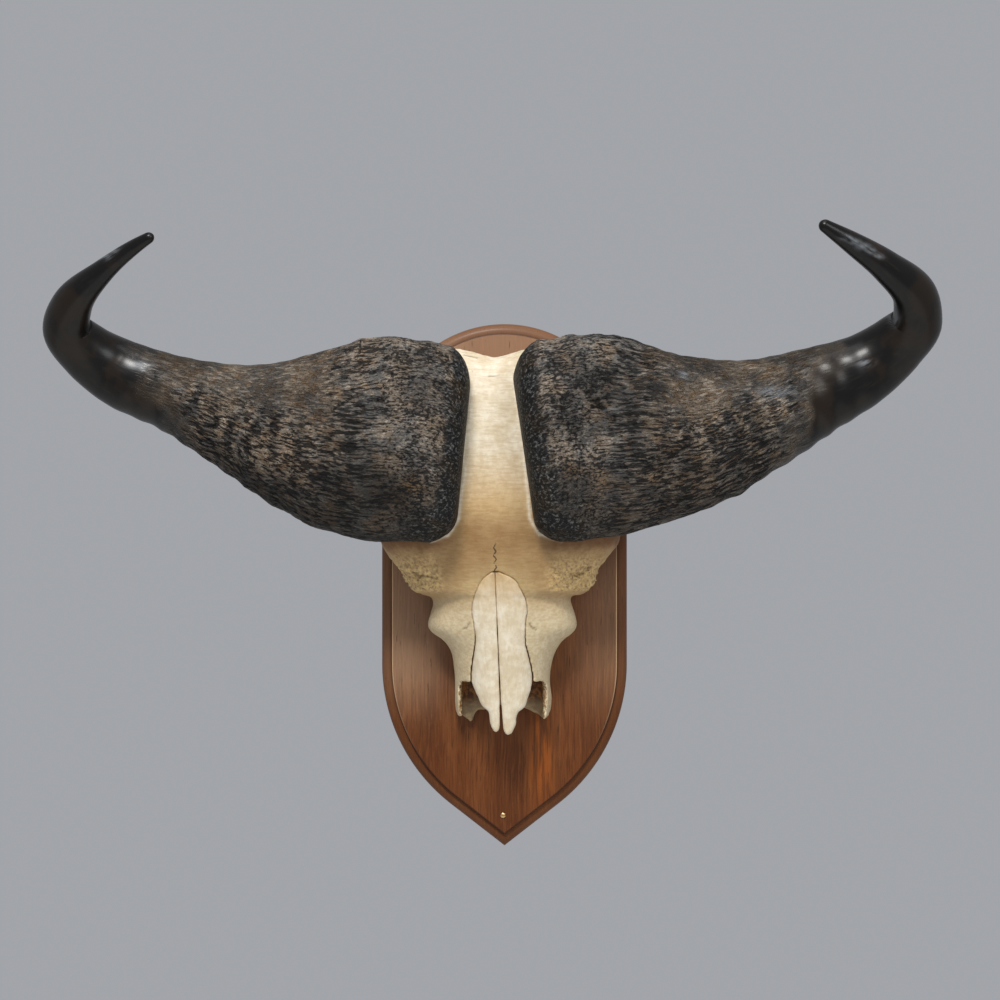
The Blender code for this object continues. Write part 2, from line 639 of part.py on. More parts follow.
def horn_reaches(length):
    """Where the horn's rings stand: close on the boss, wider on the sweep and the tip."""
    reaches = list(BOSS_END_STEPS)
    while reaches[-1] < length - HORN_TIP_STEPS[0]:
        last = reaches[-1]
        step = BOSS_SPACING if last < BOSS_LENGTH else SWEEP_SPACING if last < SWEEP_END else TIP_SPACING
        reaches.append(last + step)
    reaches = [r for r in reaches if r < length - HORN_TIP_STEPS[0] - HORN_TIP_CLEAR]
    return reaches + [length - step for step in HORN_TIP_STEPS]


def horn_relief(reach, point):
    """Bark lumps and furrows on the boss, growth rings on the sweep, nothing on the tip."""
    fade = clamp((BARK_END - reach) / BARK_FADE)
    lumps = noise.noise(point * BARK_GRAIN) * BARK_HEIGHT
    furrows = noise.noise(point * FURROW_GRAIN) * BARK_FURROW
    ring_share = clamp((reach - RING_SPAN[0]) / RING_FADES[0]) * clamp((RING_SPAN[1] - reach) / RING_FADES[1])
    rings = math.sin(2.0 * math.pi * reach / RING_PITCH) * RING_HEIGHT
    return (lumps + furrows) * fade + rings * ring_share


def horn_ring(reaches, table, reach, corners):
    """One section of a horn at a reach along it, with its upper and lower boss corners rounded off."""
    length = float(reaches[-1])

    def place(at):
        x, z, stand_off = (float(smooth(reaches, table[:, k], at)) for k in range(3))
        return Vector((x, -stand_off, z))

    width, depth, fullness = (float(smooth(reaches, table[:, k], reach)) for k in (3, 4, 5))
    ahead = place(min(reach + TANGENT_STEP, length))
    behind = place(max(reach - TANGENT_STEP, 0.0))
    tangent = (ahead - behind).normalized()
    across = Vector((-tangent.z, 0.0, tangent.x)).normalized()
    forward = tangent.cross(across)
    upper, lower = (end_round(reach, radius) for radius in corners)
    width -= (upper + lower) / 2.0
    depth -= end_round(reach, BOSS_EDGE_ROUND)
    left = length - reach
    if left < HORN_TIP_ROUND:
        share = math.sqrt(1.0 - ((HORN_TIP_ROUND - left) / HORN_TIP_ROUND) ** 2)
        width *= share
        depth *= share
    outline = []
    for angle in np.linspace(0.0, 2.0 * math.pi, OUTLINE_STEPS):
        c, s = math.cos(angle), math.sin(angle)
        power = 2.0 / fullness
        outline.append((math.copysign(abs(c) ** power, c) * width, math.copysign(abs(s) ** power, s) * depth))
    rise = across if across.z > 0.0 else -across
    centre = place(reach) - rise * (upper - lower) / 2.0
    ring = []
    for a, b in even_points(outline, HORN_SIDES + 1)[:-1]:
        point = (centre + across * float(a) + forward * float(b)) * MM
        outward = (across * float(a) + forward * float(b)).normalized()
        ring.append(point + outward * horn_relief(reach, point))
    return ring


def make_horn(side, stations, clearance, materials):
    reaches, table = horn_path(stations)
    length = float(reaches[-1])
    rings = [horn_ring(reaches, table, reach, BOSS_CORNERS[side]) for reach in horn_reaches(length)]
    horn = add_object(f"horn_{side}", loft(rings), materials["horn"], HORN_ANGLE)
    combine(horn, clearance)


def make_tack(materials):
    face = -PLAQUE_THICKNESS - GAP
    end = face + TACK_LENGTH
    profile = [(TACK_SHANK_RADIUS * 0.3, end), (TACK_SHANK_RADIUS, end - TACK_POINT_LENGTH),
               (TACK_SHANK_RADIUS, face), (TACK_HEAD_RADIUS, face)]
    for angle in np.linspace(0.0, math.pi / 2.0, TACK_DOME_STEPS + 1)[1:-1]:
        profile.append((TACK_HEAD_RADIUS * math.cos(angle), face - TACK_HEAD_HEIGHT * math.sin(angle)))
    profile.append((0.1 * MM, face - TACK_HEAD_HEIGHT))
    add_object("tack", turned(profile, TACK_PLACE, SCREW_SIDES), materials["brass"])


def screw(name, place, start, head_radius, head_depth, shank_radius, length, material):
    """A countersunk screw driven along -Y from the back, with a straight slot in its head."""
    profile = [(head_radius, start), (head_radius, start - SCREW_HEAD_EDGE),
               (shank_radius, start - head_depth),
               (shank_radius, start - length + 2.0 * shank_radius), (0.2 * shank_radius, start - length)]
    body = add_object(name, turned(profile, place, SCREW_SIDES), material)
    x, z = place
    slot = box((x - SLOT_WIDTH / 2.0, start - SLOT_DEPTH, z - head_radius * 2.0),
               (x + SLOT_WIDTH / 2.0, start + MM, z + head_radius * 2.0))
    combine(body, add_object(f"{name}_slot", slot))


def skull_screw_hole(name, place):
    """Countersunk clearance hole right through the plaque."""
    radius = SKULL_SCREW_SHANK_RADIUS + GAP
    head = SKULL_SCREW_HEAD_RADIUS + GAP
    seat = -SKULL_SCREW_SINK - SCREW_HEAD_EDGE
    profile = [(head, MM), (head, seat), (radius, seat - SKULL_SCREW_HEAD_DEPTH),
               (radius, -PLAQUE_THICKNESS - MM)]
    return add_object(f"plaque_hole_{name}", turned(profile, place, SCREW_SIDES))


def make_screws(materials):
    for name, place in SKULL_SCREWS.items():
        screw(f"skull_screw_{name}", place, -SKULL_SCREW_SINK, SKULL_SCREW_HEAD_RADIUS,
              SKULL_SCREW_HEAD_DEPTH, SKULL_SCREW_SHANK_RADIUS, SKULL_SCREW_LENGTH, materials["steel"])
    seat = -RECESS_DEPTH + HANGER_THICKNESS + GAP
    for name, side in (("left", -1.0), ("right", 1.0)):
        place = (side * HANGER_SCREW_OFFSET, HANGER_HEIGHT)
        start = seat + GAP + HANGER_SCREW_HEAD_DEPTH
        screw(f"hanger_screw_{name}", place, start, HANGER_SCREW_HEAD_RADIUS, HANGER_SCREW_HEAD_DEPTH,
              HANGER_SCREW_SHANK_RADIUS, HANGER_SCREW_LENGTH, materials["steel"])


def hanger_rise(x):
    """Height of the strip over the floor of its recess: flat ends and a raised middle."""
    start, end = HANGER_RISE_ENDS
    return HANGER_RISE * clamp((end - abs(x)) / (end - start))


def make_hanger(materials):
    """A steel strip with teeth along the lower edge of its raised middle."""
    half = HANGER_LENGTH / 2.0
    start, end = HANGER_RISE_ENDS
    teeth = int(2.0 * (start - HANGER_TOOTH_PITCH / 2.0) / HANGER_TOOTH_PITCH)
    first = -teeth * HANGER_TOOTH_PITCH / 2.0
    stations = [(-half, 0.0), (-end, 0.0), (-start, 0.0)]
    for k in range(2 * teeth + 1):
        stations.append((first + k * HANGER_TOOTH_PITCH / 2.0, HANGER_TOOTH_HEIGHT * (k % 2)))
    stations += [(start, 0.0), (end, 0.0), (half, 0.0)]
    rings = []
    for x, notch in stations:
        floor = -RECESS_DEPTH + GAP + hanger_rise(x)
        low = HANGER_HEIGHT - HANGER_WIDTH / 2.0 + notch
        high = HANGER_HEIGHT + HANGER_WIDTH / 2.0
        rings.append([(x, floor, low), (x, floor, high), (x, floor + HANGER_THICKNESS, high),
                      (x, floor + HANGER_THICKNESS, low)])
    hanger = add_object("hanger", loft(rings), materials["steel"], STRIP_ANGLE)
    for side in (-1.0, 1.0):
        radius = HANGER_SCREW_SHANK_RADIUS + GAP
        place = (side * HANGER_SCREW_OFFSET, HANGER_HEIGHT)
        hole = turned([(radius, MM), (radius, -RECESS_DEPTH - MM)], place, SCREW_SIDES)
        combine(hanger, add_object(f"hanger_hole_{side:+.0f}", hole))


def main():
    clear_scene()
    materials = {name: make_material(name) for name in MATERIALS}
    make_plaque(materials)
    make_skull(materials)
    for side in ("left", "right"):
        make_nasal(side, materials)
    clearance = skull_clearance()
    make_horn("left", HORN_LEFT, clearance, materials)
    make_horn("right", HORN_RIGHT, clearance, materials)
    make_tack(materials)
    make_screws(materials)
    make_hanger(materials)


main()
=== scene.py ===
"""A Cape buffalo skull cap with both horns, screwed to a shield-shaped mahogany wall plaque.

Metres, +Z up. The back of the plaque lies in the plane y = 0 and the skull faces -Y, so a stand-off is a
distance in front of the wall. Left and right are seen from the front. The tables that shape the bone and
the horns are in millimetres, and repeat the ones that the solids were made from.
"""

import itertools
import logging
import math
from dataclasses import dataclass
from enum import Enum
from typing import Any, Callable, Sequence

import bmesh
import bpy
import numpy as np
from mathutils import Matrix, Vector, noise


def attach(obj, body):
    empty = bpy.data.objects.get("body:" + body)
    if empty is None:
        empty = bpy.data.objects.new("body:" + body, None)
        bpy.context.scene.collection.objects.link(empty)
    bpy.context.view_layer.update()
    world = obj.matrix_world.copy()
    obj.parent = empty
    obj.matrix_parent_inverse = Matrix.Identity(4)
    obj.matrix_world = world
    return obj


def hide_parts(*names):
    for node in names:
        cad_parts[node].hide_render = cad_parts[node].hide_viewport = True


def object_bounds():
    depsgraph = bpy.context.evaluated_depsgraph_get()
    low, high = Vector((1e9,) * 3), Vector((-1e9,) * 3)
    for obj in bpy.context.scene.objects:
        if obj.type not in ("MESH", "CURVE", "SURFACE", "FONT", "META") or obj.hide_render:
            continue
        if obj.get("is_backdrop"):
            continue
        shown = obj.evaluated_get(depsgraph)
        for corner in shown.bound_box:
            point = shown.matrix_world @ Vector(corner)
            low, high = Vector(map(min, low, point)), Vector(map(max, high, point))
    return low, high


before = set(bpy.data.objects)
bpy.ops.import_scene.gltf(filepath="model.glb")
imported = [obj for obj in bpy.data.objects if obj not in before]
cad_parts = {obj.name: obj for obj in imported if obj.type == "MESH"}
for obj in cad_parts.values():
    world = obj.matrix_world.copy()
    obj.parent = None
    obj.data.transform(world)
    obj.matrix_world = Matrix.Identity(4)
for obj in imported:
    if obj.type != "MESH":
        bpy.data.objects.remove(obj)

MM = 0.001
BODY = "root"
LOG = logging.getLogger("skull mount")

Array = np.ndarray
Material = bpy.types.Material
Mesh = bpy.types.Mesh
Piece = bpy.types.Object
Socket = bpy.types.NodeSocket
Row = tuple[float, ...]
Point = tuple[float, float]
Section = tuple[Array, Array, Array]
# A crack or furrow: how far it reaches to either side, its depth, and its line in the plane of the face.
Cut = tuple[float, float, tuple[Point, ...]]


class Side(Enum):
    """The viewer's side of the mount, with the sign of its x."""

    LEFT = -1.0
    RIGHT = 1.0

    @property
    def word(self) -> str:
        """The side's name in lower case."""
        return self.name.lower()


class Slot(Enum):
    """The finishes that the record names."""

    WOOD = "wood"
    BONE = "bone"
    NASAL = "nasal_bone"
    HORN = "horn"
    BRASS = "brass"
    STEEL = "steel"


def srgb(code: str) -> tuple[float, float, float, float]:
    """Linear colour, with an alpha of one, of a six-digit hex code."""
    parts = [int(code[k:k + 2], 16) / 255.0 for k in (0, 2, 4)]
    linear = [p / 12.92 if p <= 0.04045 else ((p + 0.055) / 1.055) ** 2.4 for p in parts]
    return (*linear, 1.0)


def smoothstep(low: float, high: float, value: Array | float) -> Any:
    """A soft step from 0 at low to 1 at high; with low above high it falls as the value rises."""
    share = np.clip((value - low) / (high - low), 0.0, 1.0)
    return share * share * (3.0 - 2.0 * share)


def bump_at(centre: float, reach: float, value: Array) -> Array:
    """A soft hump of height one that falls to nothing at a distance of about twice its reach."""
    return np.exp(-((value - centre) / reach) ** 2)


def blot(x: Array, z: Array, wide: float, tall: float) -> Array:
    """A soft oval spot of height one, given its reach along x and z and the distances from its middle."""
    return np.exp(-(x / wide) ** 2 - (z / tall) ** 2)


def smooth(knots: Sequence[float], values: Sequence[float], at: Array | float) -> Any:
    """A cubic through the knots that never swings past them.

    Args:
        knots: rising positions.
        values: the value at each knot.
        at: where the curve is wanted.

    Returns:
        The curve's values.
    """
    knots = np.asarray(knots, dtype=float)
    values = np.asarray(values, dtype=float)
    secant = np.diff(values) / np.diff(knots)
    slope = np.gradient(values, knots)
    limit = 3.0 * np.minimum(np.abs(secant[:-1]), np.abs(secant[1:]))
    slope[1:-1] = np.clip(slope[1:-1], -limit, limit)
    slope[1:-1][secant[:-1] * secant[1:] <= 0.0] = 0.0
    low = np.clip(np.searchsorted(knots, at, side="right") - 1, 0, len(knots) - 2)
    span = knots[low + 1] - knots[low]
    t = np.clip((at - knots[low]) / span, 0.0, 1.0)
    start = values[low] * (2.0 * t**3 - 3.0 * t**2 + 1.0) + slope[low] * span * (t**3 - 2.0 * t**2 + t)
    end = values[low + 1] * (3.0 * t**2 - 2.0 * t**3) + slope[low + 1] * span * (t**3 - t**2)
    return start + end


def end_round(depth: Array | float, radius: float) -> Any:
    """How far a corner of the given radius pulls in at a depth from its end."""
    inside = np.clip(radius - depth, 0.0, None)
    return radius - np.sqrt(radius * radius - inside * inside)


def along_line(line: Array, shares: Array) -> Array:
    """Points of a polyline, one a row, at shares of its length from 0 at its start to 1 at its end."""
    reach = np.concatenate(([0.0], np.cumsum(np.linalg.norm(np.diff(line, axis=0), axis=1))))
    return np.column_stack([np.interp(shares * reach[-1], reach, line[:, k]) for k in range(line.shape[1])])


def line_distance(x: Array, z: Array, line: Sequence[Point]) -> Array:
    """Distance from points to a polyline in the plane of the face.

    Args:
        x: of the points.
        z: of the points.
        line: corners of the polyline, in the same units.

    Returns:
        The distance of each point.
    """
    nearest = np.full(len(x), np.inf)
    for (ax, az), (bx, bz) in zip(line, line[1:]):
        dx, dz = bx - ax, bz - az
        share = np.clip(((x - ax) * dx + (z - az) * dz) / (dx * dx + dz * dz), 0.0, 1.0)
        nearest = np.minimum(nearest, np.hypot(x - ax - share * dx, z - az - share * dz))
    return nearest


class Grain:
    """Seeded gradient noise, smooth and repeatable, from about -1 to 1."""

    def __init__(self, seed: int) -> None:
        """Draws the lattice.

        Args:
            seed: fixes its pattern.
        """
        source = np.random.default_rng(seed)
        self.order = source.permutation(256)
        slopes = source.normal(size=(256, 3))
        self.slopes = slopes / np.linalg.norm(slopes, axis=1, keepdims=True)

    def at(self, points: Array) -> Array:
        """The noise at points.

        Args:
            points: rows whose unit is one cell of the lattice.

        Returns:
            A value for each point.
        """
        cell = np.floor(points).astype(int)
        part = points - cell
        fade = part**3 * (part * (part * 6.0 - 15.0) + 10.0)
        total = np.zeros(len(points))
        for corner in itertools.product((0, 1), repeat=3):
            spot = cell + corner
            pick = self.order[spot[:, 0] & 255]
            pick = self.order[(pick + spot[:, 1]) & 255]
            pick = self.order[(pick + spot[:, 2]) & 255]
            value = np.einsum("ij,ij->i", self.slopes[pick], part - corner)
            total += value * np.prod(np.where(corner, fade, 1.0 - fade), axis=1)
        return total * 1.7

    def layered(self, points: Array, layers: int = 3, gain: float = 0.5) -> Array:
        """Several sizes of the noise added up.

        Args:
            points: in cells of the coarsest layer.
            layers: how many, each twice as fine as the one before.
            gain: height of a layer against the one before.

        Returns:
            The sum, scaled back to about -1 to 1.
        """
        total = np.zeros(len(points))
        height, whole = 1.0, 0.0
        for k in range(layers):
            total += self.at(points * 2.0**k + 17.3 * k) * height
            whole += height
            height *= gain
        return total / whole


def new_object(name: str, data: bpy.types.ID) -> Piece:
    """Links a mesh, a lamp or a camera into the scene as an object at the origin."""
    obj = bpy.data.objects.new(name, data)
    bpy.context.scene.collection.objects.link(obj)
    return obj


def made_mesh(name: str, bm: bmesh.types.BMesh) -> Mesh:
    """Turns a bmesh into a mesh and frees it.

    Args:
        name: the mesh's name.
        bm: the bmesh.

    Returns:
        The mesh.
    """
    mesh = bpy.data.meshes.new(name)
    bm.to_mesh(mesh)
    bm.free()
    return mesh


def ring_mesh(name: str, rings: Sequence[Any]) -> Mesh:
    """A skin over rings that all have the same number of points, with a fan over each end.

    Args:
        name: the mesh's name.
        rings: ring, point, axis, in mm.

    Returns:
        The mesh in metres, with its faces pointing out.
    """
    rings = np.array(rings) * MM
    count, around = rings.shape[:2]
    start = np.arange(count - 1)[:, None] * around + np.arange(around)[None, :]
    beside = np.arange(count - 1)[:, None] * around + (np.arange(around)[None, :] + 1) % around
    quads = np.stack((start, beside, beside + around, start + around), axis=2)
    faces: list[Any] = quads.reshape(-1, 4).tolist()
    vertices = np.vstack((rings.reshape(-1, 3), rings[0].mean(axis=0), rings[-1].mean(axis=0)))
    first, last = len(vertices) - 2, len(vertices) - 1
    base = (count - 1) * around
    for k in range(around):
        after = (k + 1) % around
        faces.append((after, k, first))
        faces.append((base + k, base + after, last))
    mesh = bpy.data.meshes.new(name)
    mesh.from_pydata(vertices.tolist(), [], faces)
    bm = bmesh.new()
    bm.from_mesh(mesh)
    bmesh.ops.recalc_face_normals(bm, faces=bm.faces[:])
    bm.to_mesh(mesh)
    bm.free()
    return mesh


def lofted(name: str, outlines: Sequence[tuple[Any, ...]]) -> Piece:
    """An object over outlines that each lie at one y, which comes before the x and z of its points, in mm."""
    rings = [np.column_stack((x, np.full(len(x), y), z)) for y, x, z in outlines]
    return new_object(name, ring_mesh(name, rings))


def surface(mesh: Mesh) -> tuple[Array, Array]:
    """Reads the skin of a mesh.

    Args:
        mesh: in metres.

    Returns:
        Its vertices in mm and their outward directions, as rows.
    """
    tables = []
    for source, key in ((mesh.vertices, "co"), (mesh.vertex_normals, "vector")):
        flat = np.empty(len(mesh.vertices) * 3)
        source.foreach_get(key, flat)
        tables.append(flat.reshape(-1, 3))
    return tables[0] / MM, tables[1]


def raise_skin(mesh: Mesh, points: Array, normals: Array, height: Array) -> None:
    """Moves the vertices of a mesh outwards.

    Args:
        mesh: in metres.
        points: its vertices, in mm.
        normals: their outward directions.
        height: how far each one moves, in mm.
    """
    moved = (points + normals * height[:, None]) * MM
    mesh.vertices.foreach_set("co", np.asarray(moved, dtype=np.float32).ravel())
    mesh.update()


def paint(mesh: Mesh, **masks: Array) -> None:
    """Stores values on the vertices of a mesh, for a finish to read.

    Args:
        mesh: what is painted.
        masks: a number or a vector for each vertex, by name.
    """
    for name, values in masks.items():
        kind, key = ("FLOAT", "value") if values.ndim == 1 else ("FLOAT_VECTOR", "vector")
        layer = mesh.attributes.new(name, kind, "POINT")
        layer.data.foreach_set(key, np.asarray(values, dtype=np.float32).ravel())


def cut_away(blank: Piece, cutters: Sequence[Piece]) -> None:
    """Adds a Boolean cut to a blank for each cutter.

    Args:
        blank: what is cut.
        cutters: what cuts it.
    """
    for tool in cutters:
        cut = blank.modifiers.new(tool.name, "BOOLEAN")
        cut.operation = "DIFFERENCE"
        cut.solver = "EXACT"
        cut.object = tool


def baked(obj: Piece, *tools: Piece) -> Mesh:
    """Turns an object with modifiers into a plain mesh, and removes it.

    Args:
        obj: the object.
        tools: objects that its modifiers use, which are removed too.

    Returns:
        The mesh.
    """
    bpy.context.view_layer.update()
    graph = bpy.context.evaluated_depsgraph_get()
    whole = obj.evaluated_get(graph)
    mesh = bpy.data.meshes.new_from_object(whole, preserve_all_data_layers=True, depsgraph=graph)
    mesh.name = obj.name
    for each in (obj, *tools):
        bpy.data.objects.remove(each, do_unlink=True)
    return mesh


def fit_piece(mesh: Mesh, node: str, finish: Material, sharp: float | None = None) -> None:
    """Puts a finished mesh in the place of its solid.

    Args:
        mesh: in place, in metres.
        node: the solid that it stands for, which also names it.
        finish: its material.
        sharp: edges with a greater angle, in degrees, stay sharp; None smooths all.
    """
    mesh.materials.clear()
    mesh.materials.append(finish)
    mesh.shade_smooth()
    if sharp is not None:
        mesh.set_sharp_from_angle(angle=math.radians(sharp))
    piece = new_object(f"{node}_shown", mesh)
    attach(piece, BODY)
    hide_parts(node)
    LOG.info("%s: %d faces", piece.name, len(mesh.polygons))


def maths(operation: str, swapped: bool = False) -> Callable[..., "Wire"]:
    """An operator of Wire, which adds one Math node.

    Args:
        operation: what the node does.
        swapped: puts the wire last, for a number on the left.

    Returns:
        The operator.
    """

    def apply(wire: "Wire", *others: Any) -> "Wire":
        """Adds the node on the wire's sheet."""
        values = (*others, wire) if swapped else (wire, *others)
        return wire.sheet.node("ShaderNodeMath", dict(enumerate(values)), operation=operation)

    return apply


class Wire:
    """A node's output, which adds Math nodes when it is used in an expression."""

    __add__, __radd__ = maths("ADD"), maths("ADD", True)
    __sub__, __rsub__ = maths("SUBTRACT"), maths("SUBTRACT", True)
    __mul__, __rmul__ = maths("MULTIPLY"), maths("MULTIPLY", True)
    __abs__ = maths("ABSOLUTE")
    least, most, zigzag = maths("MINIMUM"), maths("MAXIMUM"), maths("PINGPONG")

    def __init__(self, sheet: "Sheet", socket: Socket) -> None:
        """Keeps the socket and the sheet that it is on."""
        self.sheet = sheet
        self.socket = socket

    def step(self, low: float, high: float) -> "Wire":
        """A soft step from 0 at low to 1 at high.

        Args:
            low: where it is 0; this may be the greater.
            high: where it is 1.

        Returns:
            The step.
        """
        inputs = {"Value": self, "From Min": min(low, high), "From Max": max(low, high)}
        if low > high:
            inputs.update({"To Min": 1.0, "To Max": 0.0})
        return self.sheet.node("ShaderNodeMapRange", inputs, interpolation_type="SMOOTHSTEP")


class Sheet:
    """A node tree, and the one way in which nodes are added to it."""

    def __init__(self, tree: bpy.types.NodeTree) -> None:
        """Keeps the tree."""
        self.tree = tree

    def node(self, kind: str, inputs: dict[Any, Any], output: Any = 0, **settings: Any) -> Wire:
        """Adds a node.

        Args:
            kind: the node's type.
            inputs: a value, a wire or a list of wires for each socket, by name or number.
            output: the wanted output, by name or number.
            settings: the node's own properties; stops holds a ramp's positions and colours.

        Returns:
            The output as a wire.
        """
        made = self.tree.nodes.new(kind)
        stops = settings.pop("stops", ())
        for key, value in settings.items():
            setattr(made, key, value)
        for _ in stops[2:]:
            made.color_ramp.elements.new(0.5)
        for k, (position, colour) in enumerate(stops):
            made.color_ramp.elements[k].position = position
            made.color_ramp.elements[k].color = srgb(colour)
        for key, value in inputs.items():
            self.feed(made.inputs[key], value)
        return Wire(self, made.outputs[output])

    def feed(self, socket: Socket, value: Any) -> None:
        """Sets or links an input.

        Args:
            socket: the input.
            value: a number, a vector, a hex colour, a wire or a list of wires.
        """
        if isinstance(value, list):
            for each in value:
                self.feed(socket, each)
        elif isinstance(value, Wire):
            self.tree.links.new(value.socket, socket)
        else:
            socket.default_value = srgb(value) if isinstance(value, str) else value


class Board(Sheet):
    """The node tree of one material, with a Principled shader."""

    def __init__(self, name: str) -> None:
        """Makes the material."""
        self.material = bpy.data.materials.new(name)
        self.material.use_nodes = True
        super().__init__(self.material.node_tree)

    def finished(self, **values: Any) -> Material:
        """Feeds the shader.

        Args:
            values: one for each socket; an underscore in a name stands for a space.

        Returns:
            The material.
        """
        shader = self.tree.nodes["Principled BSDF"]
        for key, value in values.items():
            self.feed(shader.inputs[key.replace("_", " ")], value)
        return self.material

    def place(self) -> Wire:
        """Object coordinates."""
        return self.node("ShaderNodeTexCoord", {}, "Object")

    def painted(self, name: str, output: str = "Fac") -> Wire:
        """An attribute stored on the mesh."""
        return self.node("ShaderNodeAttribute", {}, output, attribute_name=name)

    def axes(self, vector: Wire) -> list[Wire]:
        """The three parts of a vector."""
        split = self.node("ShaderNodeSeparateXYZ", {0: vector})
        return [Wire(self, socket) for socket in split.socket.node.outputs]

    def moved(self, vector: Wire, by: Wire, amount: float) -> Wire:
        """A vector pushed about by a colour or vector."""
        push = self.node("ShaderNodeVectorMath", {0: by, "Scale": amount}, operation="SCALE")
        return self.node("ShaderNodeVectorMath", {0: vector, 1: push}, operation="ADD")

    def noise(self, vector: Wire, scale: float, detail: float = 3.0, rough: float = 0.5,
              distortion: float = 0.0, stretch: Row | None = None, output: str = "Fac") -> Wire:
        """Noise from 0 to 1.

        Args:
            vector: the place.
            scale: lumps to the metre.
            detail: number of finer layers.
            rough: strength of the finer layers.
            distortion: how far it is swirled.
            stretch: multiplies each axis first.
            output: Fac, or Color for three noises in one.

        Returns:
            The noise.
        """
        if stretch is not None:
            vector = self.node("ShaderNodeVectorMath", {0: vector, 1: stretch}, operation="MULTIPLY")
        inputs = {"Vector": vector, "Scale": scale, "Detail": detail, "Roughness": rough,
                  "Distortion": distortion}
        return self.node("ShaderNodeTexNoise", inputs, output)

    def mix(self, share: Any, first: Any, second: Any, blend: str = "MIX") -> Wire:
        """A blend of two colours; MULTIPLY darkens the first by the second."""
        inputs = {0: share, 6: first, 7: second}
        return self.node("ShaderNodeMix", inputs, 2, data_type="RGBA", blend_type=blend)

    def coats(self, tone: Any, *layers: tuple[Any, Any]) -> Wire:
        """Lays colours over one another.

        Args:
            tone: the lowest colour.
            layers: share and colour of each one above it, in turn.

        Returns:
            The whole.
        """
        for share, colour in layers:
            tone = self.mix(share, tone, colour)
        return tone

    def stains(self, tone: Any, *layers: tuple[Any, Any]) -> Wire:
        """Darkens a colour by others.

        Args:
            tone: the clean colour.
            layers: share and colour of each stain, in turn.

        Returns:
            The whole.
        """
        for share, colour in layers:
            tone = self.mix(share, tone, colour, "MULTIPLY")
        return tone

    def bump(self, height: Wire, distance: float, strength: float = 1.0) -> Wire:
        """A normal roughened by a height; distance is the height in mm that 1 stands for."""
        inputs = {"Height": height, "Distance": distance * MM, "Strength": strength}
        return self.node("ShaderNodeBump", inputs, "Normal")


